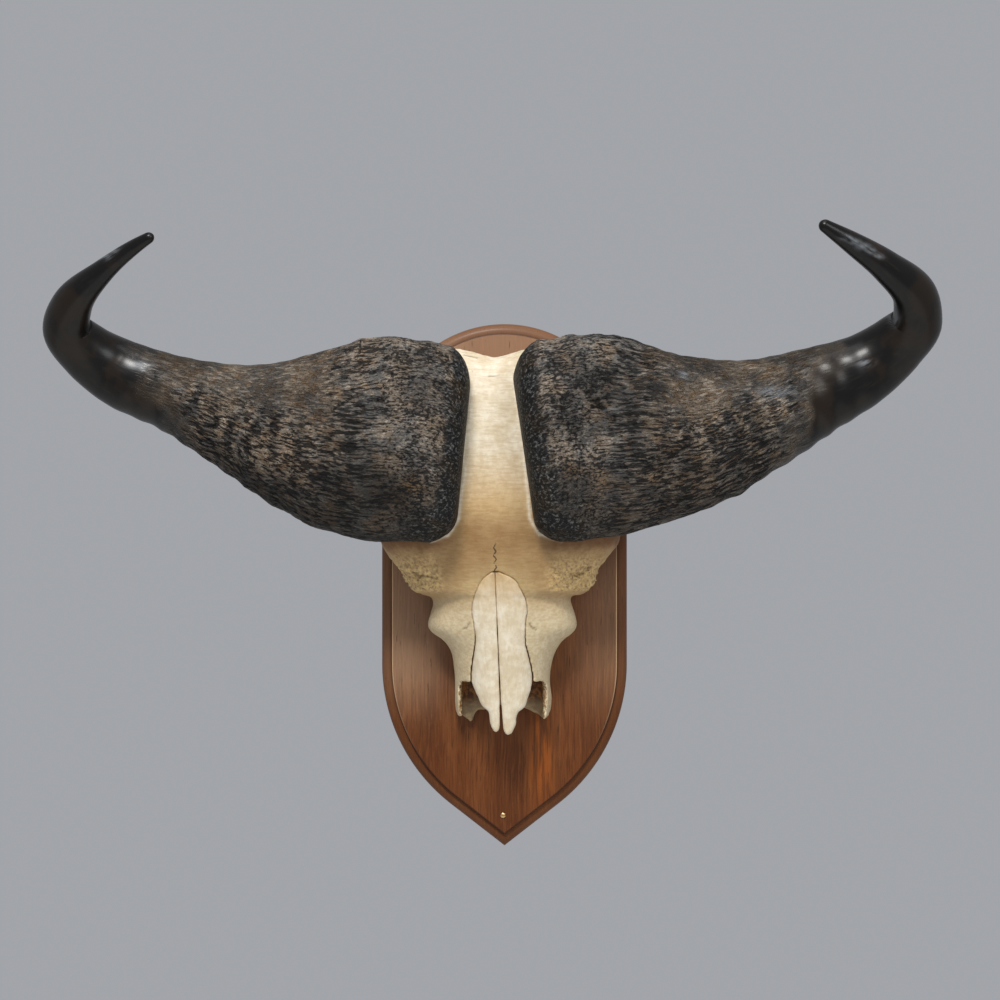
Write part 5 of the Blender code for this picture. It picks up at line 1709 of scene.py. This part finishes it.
class NodeRig(Sheet):
    """A Geometry Nodes tree with named inputs, run on an empty mesh and turned into a plain one."""

    def __init__(self, name: str, sizes: dict[str, float]) -> None:
        """Starts the tree.

        Args:
            name: the tree's name.
            sizes: its inputs by name, in metres, or whole numbers where they count.
        """
        super().__init__(bpy.data.node_groups.new(name, "GeometryNodeTree"))
        self.sizes = sizes
        for key, value in sizes.items():
            kind = "NodeSocketInt" if isinstance(value, int) else "NodeSocketFloat"
            self.tree.interface.new_socket(key, in_out="INPUT", socket_type=kind)
        self.tree.interface.new_socket("Finish", in_out="INPUT", socket_type="NodeSocketMaterial")
        self.tree.interface.new_socket("Geometry", in_out="OUTPUT", socket_type="NodeSocketGeometry")
        self.entry = self.tree.nodes.new("NodeGroupInput")

    def size(self, name: str) -> Wire:
        """A named input of the tree."""
        return Wire(self, self.entry.outputs[name])

    def point(self, x: Any = 0.0, y: Any = 0.0, z: Any = 0.0) -> Wire:
        """A vector from three wires or numbers."""
        return self.node("ShaderNodeCombineXYZ", {"X": x, "Y": y, "Z": z})

    def shift(self, shape: Wire, move: Any = (0.0, 0.0, 0.0), turn: Row = (0.0, 0.0, 0.0)) -> Wire:
        """A shape moved and turned."""
        return self.node("GeometryNodeTransform", {"Geometry": shape, "Translation": move, "Rotation": turn})

    def cone(self, top: Any, bottom: Any, depth: Any, low: Any) -> Wire:
        """A cone along Z that stands at a height, with as many sides as the tree's input says."""
        inputs = {"Vertices": self.size("Sides"), "Radius Top": top, "Radius Bottom": bottom, "Depth": depth}
        return self.shift(self.node("GeometryNodeMeshCone", inputs), self.point(z=low))

    def cut(self, shape: Wire, tools: list[Wire]) -> Wire:
        """A shape with others cut out of it."""
        inputs = {"Mesh 1": shape, "Mesh 2": tools}
        return self.node("GeometryNodeMeshBoolean", inputs, "Mesh", operation="DIFFERENCE", solver="EXACT")

    def stood(self, turn: float, *shapes: Wire) -> Wire:
        """Shapes put together, turned about X and moved to the point given by the inputs X, Y and Z."""
        whole = self.node("GeometryNodeJoinGeometry", {"Geometry": list(shapes)})
        return self.shift(whole, self.point(*(self.size(axis) for axis in "XYZ")), (turn, 0.0, 0.0))

    def finish(self, shape: Wire) -> None:
        """Ends the tree with realized instances and the finish.

        Args:
            shape: what it makes.
        """
        real = self.node("GeometryNodeRealizeInstances", {"Geometry": shape})
        dressed = self.node("GeometryNodeSetMaterial", {"Geometry": real, "Material": self.size("Finish")})
        self.feed(self.tree.nodes.new("NodeGroupOutput").inputs[0], dressed)

    def mesh(self, name: str, finish: Material, **changes: float) -> Mesh:
        """Runs the tree.

        Args:
            name: the mesh's name.
            finish: its material.
            changes: sizes that differ from the tree's own; an underscore stands for a space.

        Returns:
            The plain mesh.
        """
        obj = new_object(name, bpy.data.meshes.new(name))
        modifier = obj.modifiers.new("shape", "NODES")
        modifier.node_group = self.tree
        values = self.sizes | {"Finish": finish}
        values |= {key.replace("_", " "): value for key, value in changes.items()}
        for item in self.tree.interface.items_tree:
            if item.in_out == "INPUT":
                modifier[item.identifier] = values[item.name]
        return baked(obj)


@dataclass
class Hardware:
    """The tack on the foot of the shield, the screws and the toothed hanger on its back, in mm."""

    plaque: Plaque
    front: float = 22.35
    tack_place: Point = (-1.6, -252.0)
    tack_radius: float = 3.2
    tack_height: float = 1.8
    tack_shank: float = 0.9
    tack_length: float = 8.0
    screw_seat: float = -0.6
    hanger_screw_offset: float = 31.0
    hanger_head_rise: float = 1.65
    hole_radius: float = 2.05
    strip_length: float = 76.0
    strip_width: float = 17.0
    strip_thickness: float = 1.6
    strip_floor: float = -4.65
    rise: float = 2.2
    rise_ends: Point = (20.0, 24.0)
    tooth_pitch: float = 4.0
    tooth_height: float = 2.4
    sharp: float = 30.0
    hanger_sharp: float = 20.0

    @staticmethod
    def screw_rig() -> NodeRig:
        """A wood screw along -Y with a countersunk slotted head and a cut thread.

        Returns:
            The tree, with its head's flat top at the point given by its X, Y and Z.
        """
        rig = NodeRig("wood screw", {
            "X": 0.0, "Y": 0.0, "Z": 0.0, "Head radius": 4.8 * MM, "Head depth": 3.6 * MM, "Sides": 40,
            "Shank radius": 2.5 * MM, "Length": 45.0 * MM, "Turns": 16.0, "Slot width": 1.0 * MM,
            "Slot depth": 0.9 * MM})
        head, depth = rig.size("Head radius"), rig.size("Head depth")
        shank, length = rig.size("Shank radius"), rig.size("Length")
        core, tip_length = shank * 0.78, shank * 3.0
        rod_length = length - tip_length
        sizes = {"Vertices": rig.size("Sides"), "Radius": core, "Depth": rod_length}
        rod = rig.node("GeometryNodeMeshCylinder", sizes)
        helix = rig.node("GeometryNodeCurveSpiral", {
            "Resolution": 24, "Rotations": rig.size("Turns"), "Start Radius": core, "End Radius": core,
            "Height": length * -0.62})
        section = {"Resolution": 3, "Radius": shank * 0.24}
        ridge = rig.node("GeometryNodeCurvePrimitiveCircle", section, mode="RADIUS")
        path = {"Curve": helix, "Profile Curve": ridge, "Fill Caps": True}
        thread = rig.node("GeometryNodeCurveToMesh", path)
        slot_size = rig.point(rig.size("Slot width"), head * 4.0, rig.size("Slot depth") * 2.0)
        slot = rig.node("GeometryNodeMeshCube", {"Size": slot_size})
        rig.finish(rig.stood(
            -math.pi / 2.0, rig.cut(rig.cone(head, shank, depth, depth * -1.0), [slot]),
            rig.shift(rod, rig.point(z=rod_length * -0.5)),
            rig.cone(core, 0.12 * MM, tip_length, length * -1.0),
            rig.shift(thread, rig.point(z=length * -0.26))))
        return rig

    def tack_rig(self) -> NodeRig:
        """A small domed nail along -Y.

        Returns:
            The tree, with the underside of its head at the point given by its X, Y and Z.
        """
        rig = NodeRig("tack", {"X": 0.0, "Y": 0.0, "Z": 0.0, "Radius": self.tack_radius * MM,
                               "Height": self.tack_height * MM, "Shank radius": self.tack_shank * MM,
                               "Length": self.tack_length * MM, "Sides": 40})
        sizes = {"Segments": rig.size("Sides"), "Rings": 24, "Radius": 1.0}
        ball = rig.node("GeometryNodeMeshUVSphere", sizes)
        size = rig.point(rig.size("Radius"), rig.size("Radius"), rig.size("Height"))
        flat = rig.node("GeometryNodeTransform", {"Geometry": ball, "Scale": size})
        half = rig.node("GeometryNodeMeshCube", {"Size": (20.0 * MM, 20.0 * MM, 20.0 * MM)})
        dome = rig.cut(flat, [rig.shift(half, rig.point(z=-10.0 * MM))])
        length = rig.size("Length")
        shank = rig.cone(rig.size("Shank radius"), 0.15 * MM, length, length * -1.0)
        rig.finish(rig.stood(math.pi / 2.0, dome, shank))
        return rig

    def strip(self) -> Mesh:
        """The hanger's strip with flat ends and a raised middle, before its teeth and holes are cut.

        Returns:
            The mesh, in metres.
        """
        start, end = self.rise_ends
        half = self.strip_length / 2.0
        right = np.array((start - 0.6, start, (start + end) / 2.0, end, end + 0.6, half - 0.4, half))
        height, reach = self.plaque.hanger_height, self.strip_width / 2.0
        low, high = height - reach, height + reach
        rings = []
        for x in np.concatenate((-right[::-1], right)):
            floor = self.strip_floor + self.rise * np.clip((end - np.abs(x)) / (end - start), 0.0, 1.0)
            top = floor + self.strip_thickness
            pinch = 0.4 if abs(x) == half else 0.0
            rings.append([(x, floor, low + 0.3 + pinch), (x, floor, high - 0.3 - pinch),
                          (x, floor + 0.3, high - pinch), (x, top - 0.3, high - pinch),
                          (x, top, high - 0.3 - pinch), (x, top, low + 0.3 + pinch),
                          (x, top - 0.3, low + pinch), (x, floor + 0.3, low + pinch)])
        return ring_mesh("hanger_blank", rings)

    def hanger_rig(self, blank: Piece) -> NodeRig:
        """Cuts a row of notches into the lower edge of the strip, and its screw holes.

        Args:
            blank: the plain strip.

        Returns:
            The tree.
        """
        teeth = int(2.0 * (self.rise_ends[0] - self.tooth_pitch / 2.0) / self.tooth_pitch)
        rig = NodeRig("toothed hanger", {"Pitch": self.tooth_pitch * MM, "Notches": teeth,
                                         "Notch height": self.tooth_height * MM,
                                         "Hole radius": self.hole_radius * MM})
        strip = rig.node("GeometryNodeObjectInfo", {"Object": blank}, "Geometry", transform_space="RELATIVE")
        height = self.plaque.hanger_height
        pitch, count = rig.size("Pitch"), rig.size("Notches")
        first = rig.point(pitch * (count - 1.0) * -0.5, 0.0, (height - self.strip_width / 2.0) * MM)
        places = {"Count": count, "Start Location": first, "Offset": rig.point(pitch)}
        row = rig.node("GeometryNodeMeshLine", places, mode="OFFSET")
        edge = rig.size("Notch height") * (2.0 * math.sqrt(0.5))
        wedge = rig.node("GeometryNodeMeshCube", {"Size": rig.point(edge, 12.0 * MM, edge)})
        turned = rig.shift(wedge, turn=(0.0, math.pi / 4.0, 0.0))
        narrow = rig.node("GeometryNodeTransform", {"Geometry": turned, "Scale": (0.78, 1.0, 1.0)})
        spread = rig.node("GeometryNodeInstanceOnPoints", {"Points": row, "Instance": narrow})
        tools = [rig.node("GeometryNodeRealizeInstances", {"Geometry": spread})]
        for side in Side:
            sizes = {"Vertices": 32, "Radius": rig.size("Hole radius"), "Depth": 30.0 * MM}
            spot = rig.point(side.value * self.hanger_screw_offset * MM, 0.0, height * MM)
            drill = rig.node("GeometryNodeMeshCylinder", sizes)
            tools.append(rig.shift(drill, spot, (math.pi / 2.0, 0.0, 0.0)))
        rig.finish(rig.cut(strip, tools))
        return rig

    def build(self, steel: Material, brass: Material) -> None:
        """Makes every piece of hardware and fits it in place of its solid.

        Args:
            steel: finish of the screws and the hanger.
            brass: finish of the tack.
        """
        x, z = self.tack_place
        tack = self.tack_rig().mesh("tack", brass, X=x * MM, Y=-self.front * MM, Z=z * MM)
        fit_piece(tack, "tack", brass, self.sharp)
        rig = self.screw_rig()
        for word, (x, z) in zip(("left", "right", "low"), self.plaque.screws):
            node = f"skull_screw_{word}"
            screw = rig.mesh(node, steel, X=x * MM, Y=self.screw_seat * MM, Z=z * MM)
            fit_piece(screw, node, steel, self.sharp)
        seat = self.strip_floor + self.strip_thickness + self.hanger_head_rise
        for side in Side:
            node = f"hanger_screw_{side.word}"
            small = rig.mesh(node, steel, X=side.value * self.hanger_screw_offset * MM, Y=seat * MM,
                             Z=self.plaque.hanger_height * MM, Head_radius=3.4 * MM, Head_depth=1.3 * MM,
                             Shank_radius=1.7 * MM, Length=13.0 * MM, Slot_depth=0.7 * MM, Turns=7.0)
            fit_piece(small, node, steel, self.sharp)
        blank = new_object("hanger_blank", self.strip())
        hanger = self.hanger_rig(blank).mesh("hanger", steel)
        bpy.data.objects.remove(blank, do_unlink=True)
        fit_piece(hanger, "hanger", steel, self.hanger_sharp)


@dataclass
class Lamp:
    """One soft studio lamp."""

    name: str
    place: Row
    size: Point
    power: float
    colour: Row = (1.0, 0.98, 0.95)

    def build(self, target: Vector) -> None:
        """Hangs the lamp and aims it.

        Args:
            target: the point, in metres.
        """
        data = bpy.data.lights.new(self.name, "AREA")
        data.shape = "RECTANGLE"
        data.size, data.size_y = self.size
        data.energy = self.power
        data.color = self.colour
        lamp = new_object(self.name, data)
        lamp.location = self.place
        lamp.rotation_mode = "QUATERNION"
        lamp.rotation_quaternion = (target - Vector(self.place)).to_track_quat("-Z", "Y")


@dataclass
class Studio:
    """A pale floor well below the mount, a pale surround, soft lamps and the camera."""

    camera_place: Row = (-0.0049, -2.71, 0.0916)
    lens: float = 88.77
    sensor: float = 36.0
    clip_end: float = 50.0
    floor_drop: float = 0.47
    floor_radius: float = 1.35
    floor: str = "DCDCDA"
    surround: str = "DDE0E6"
    surround_strength: float = 0.50
    lamps: tuple[Lamp, ...] = (
        Lamp("key lamp", (-0.45, -2.4, 2.4), (0.8, 0.6), 94.0),
        Lamp("fill lamp", (1.7, -2.6, 1.3), (1.2, 1.2), 26.0, (0.95, 0.98, 1.0)),
        Lamp("top lamp", (0.1, -0.6, 2.4), (1.6, 0.6), 7.0, (0.97, 0.99, 1.0)),
    )

    def build(self, low: Vector, high: Vector) -> None:
        """Sets up everything round the mount.

        Args:
            low: lowest corner of the mount.
            high: its highest corner.
        """
        target = (low + high) / 2.0
        for lamp in self.lamps:
            lamp.build(target)
        world = bpy.data.worlds.new("pale surround")
        world.use_nodes = True
        back = world.node_tree.nodes["Background"]
        back.inputs["Color"].default_value = srgb(self.surround)
        back.inputs["Strength"].default_value = self.surround_strength
        bpy.context.scene.world = world
        bpy.context.scene.view_settings.view_transform = "Standard"
        bm = bmesh.new()
        bmesh.ops.create_circle(bm, cap_ends=True, segments=96, radius=self.floor_radius)
        bmesh.ops.translate(bm, vec=(target.x, 0.0, low.z - self.floor_drop), verts=bm.verts)
        mesh = made_mesh("floor", bm)
        mesh.materials.append(Board("pale floor").finished(Base_Color=self.floor, Roughness=0.85))
        new_object("floor", mesh)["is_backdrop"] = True
        data = bpy.data.cameras.new("camera")
        data.lens = self.lens
        data.sensor_width = self.sensor
        data.clip_end = self.clip_end
        camera = new_object("camera", data)
        camera.location = self.camera_place
        camera.rotation_euler = (math.pi / 2.0, 0.0, 0.0)
        bpy.context.scene.camera = camera


def left_horn() -> Horn:
    """Fills in the tables of the horn on the viewer's left.

    Returns:
        The horn.
    """
    stations = (
        (-42.0, 149.5, 125.5, 104.5, 47.0, 3.0), (-94.0, 154.4, 125.0, 107.9, 48.0, 2.8),
        (-157.2, 155.2, 120.0, 103.5, 46.0, 2.4), (-221.3, 163.9, 107.0, 82.8, 42.0, 2.2),
        (-286.1, 181.2, 93.0, 56.7, 39.5, 2.05), (-350.9, 204.4, 85.0, 41.0, 36.0, 2.0),
        (-414.3, 229.8, 88.0, 35.6, 31.5, 2.0), (-441.0, 248.2, 100.0, 30.7, 28.0, 2.0),
        (-459.4, 272.1, 122.0, 25.4, 24.5, 2.0), (-450.1, 294.4, 145.0, 21.3, 20.5, 2.0),
        (-412.9, 326.9, 176.0, 12.1, 12.0, 2.0), (-374.7, 351.4, 198.0, 7.3, 7.2, 2.0),
        (-357.0, 360.5, 207.0, 5.2, 5.0, 2.0))
    furrows = (
        (0.9, 1.6, ((-180.0, 228.6), (-149.6, 233.2))), (1.1, 2.0, ((-176.9, 186.4), (-152.2, 200.8))),
        (0.9, 1.4, ((-175.9, 180.2), (-152.2, 180.2))), (0.9, 1.5, ((-150.1, 257.0), (-151.2, 244.0))),
        (2.4, 2.6, ((-123.4, 239.5), (-112.0, 242.0), (-100.7, 240.5))),
        (1.6, 1.8, ((-130.6, 194.6), (-124.4, 193.6))), (0.9, 1.4, ((-99.7, 217.3), (-84.2, 216.6))),
        (0.8, 1.2, ((-76.0, 148.3), (-64.6, 165.8))))
    patches = (
        (-98.0, 109.0, 11.0, 0.9), (-112.0, 92.0, 13.0, 0.8), (-72.0, 205.0, 9.0, 0.45),
        (-68.0, 175.0, 12.0, 0.35), (-118.0, 76.0, 9.0, 0.6), (-205.0, 150.0, 22.0, 0.25),
        (-90.0, 236.0, 30.0, -0.5), (-255.0, 135.0, 24.0, -0.5), (-60.0, 120.0, 22.0, -0.4),
        (-310.0, 190.0, 14.0, -0.7), (-150.0, 90.0, 20.0, -0.4))
    gleams = (
        (-383.0, 233.5, 12.0, 5.0), (-338.0, 208.0, 6.0, 3.0), (-400.0, 346.0, 6.0, 3.0),
        (-407.0, 340.0, 6.0, 3.0))
    knobs = (
        (-150.5, 256.0, 6.0, 2.0), (-114.0, 256.0, 7.0, 0.8), (-88.0, 259.0, 14.0, -2.6),
        (-66.0, 256.0, 11.0, -3.2), (-188.0, 246.0, 18.0, -2.4))
    return Horn(Side.LEFT, stations, (46.0, 30.0), furrows, patches, gleams, knobs, seed=11)


def right_horn() -> Horn:
    """Fills in the tables of the horn on the viewer's right.

    Returns:
        The horn.
    """
    stations = (
        (19.0, 149.8, 127.5, 104.5, 47.0, 3.0), (68.5, 156.9, 125.0, 107.2, 48.0, 2.8),
        (131.6, 159.9, 120.0, 102.0, 46.0, 2.4), (195.7, 163.4, 107.0, 84.5, 42.5, 2.2),
        (260.4, 178.8, 93.0, 63.9, 40.0, 2.05), (325.1, 205.2, 85.0, 48.5, 37.5, 2.0),
        (388.5, 235.1, 88.0, 37.2, 32.5, 2.0), (415.3, 256.7, 100.0, 31.8, 29.0, 2.0),
        (432.8, 279.5, 122.0, 26.4, 25.5, 2.0), (426.8, 303.8, 145.0, 23.4, 22.0, 2.0),
        (393.1, 331.2, 174.0, 16.9, 16.0, 2.0), (356.1, 352.7, 195.0, 11.8, 11.0, 2.0),
        (319.5, 373.0, 209.0, 5.8, 5.6, 2.0))
    furrows = (
        (6.0, 4.2, ((60.0, 196.0), (66.0, 172.0), (76.0, 146.0))),
        (3.4, 4.4, ((86.0, 200.0), (99.0, 188.0), (112.0, 175.0))),
        (1.6, 2.6, ((100.0, 189.0), (88.0, 186.0), (82.0, 178.0))),
        (1.2, 1.8, ((118.7, 243.0), (138.0, 236.0), (154.7, 230.7))),
        (1.1, 1.5, ((97.0, 217.0), (125.9, 209.0))),
        (5.0, 2.2, ((84.0, 228.0), (92.0, 212.0), (98.0, 198.0))))
    patches = (
        (65.0, 241.0, 10.0, 0.8), (66.0, 121.0, 9.0, 0.7), (101.0, 111.0, 9.0, 0.6),
        (210.0, 150.0, 24.0, 0.4), (150.0, 120.0, 16.0, 0.3), (160.0, 140.0, 26.0, -0.6),
        (255.0, 160.0, 28.0, -0.6), (75.0, 175.0, 24.0, -0.4), (60.0, 80.0, 26.0, -0.6),
        (245.0, 215.0, 16.0, -0.6))
    gleams = (
        (281.0, 203.0, 18.0, 7.0), (187.0, 222.0, 6.0, 6.0), (107.0, 184.0, 7.0, 2.5),
        (378.0, 236.0, 8.0, 4.0), (347.0, 357.5, 6.0, 2.5), (355.0, 354.0, 6.0, 3.0),
        (364.0, 349.5, 7.0, 3.2), (373.0, 345.0, 6.0, 3.0), (381.0, 340.5, 5.0, 2.5),
        (407.0, 281.0, 4.0, 7.0))
    knobs = (
        (99.0, 262.0, 9.0, 3.2), (114.0, 262.0, 8.0, 2.6), (54.0, 257.0, 14.0, -5.5),
        (78.0, 263.0, 9.0, -2.0), (146.0, 256.0, 12.0, -4.5), (166.0, 250.0, 13.0, -3.5),
        (186.0, 244.0, 12.0, -2.5))
    return Horn(Side.RIGHT, stations, (40.0, 28.0), furrows, patches, gleams, knobs, seed=23,
                bark_fade=(348.0, 266.0))


def main() -> None:
    """Builds the mount piece by piece, then the studio round it."""
    logging.basicConfig(level=logging.INFO, format="%(message)s")
    cad_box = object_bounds()
    horn_finish = HornFinish().material()
    for horn in (left_horn(), right_horn()):
        horn.build(horn_finish)
    cap = SkullCap()
    nasal = NasalBones(cap)
    cap.build(nasal, BoneFinish().material())
    nasal.build(BoneFinish(name="nasal_bone", nasal=True).material())
    plaque = Plaque()
    plaque.build(WoodFinish().material())
    steel = MetalFinish("steel", "B9B6AE", "6E6A62", 0.30).material()
    brass = MetalFinish("brass", "D8B483", "8C6A3C", 0.26).material()
    Hardware(plaque).build(steel, brass)
    Studio().build(*cad_box)


if __name__ == "__main__":
    main()
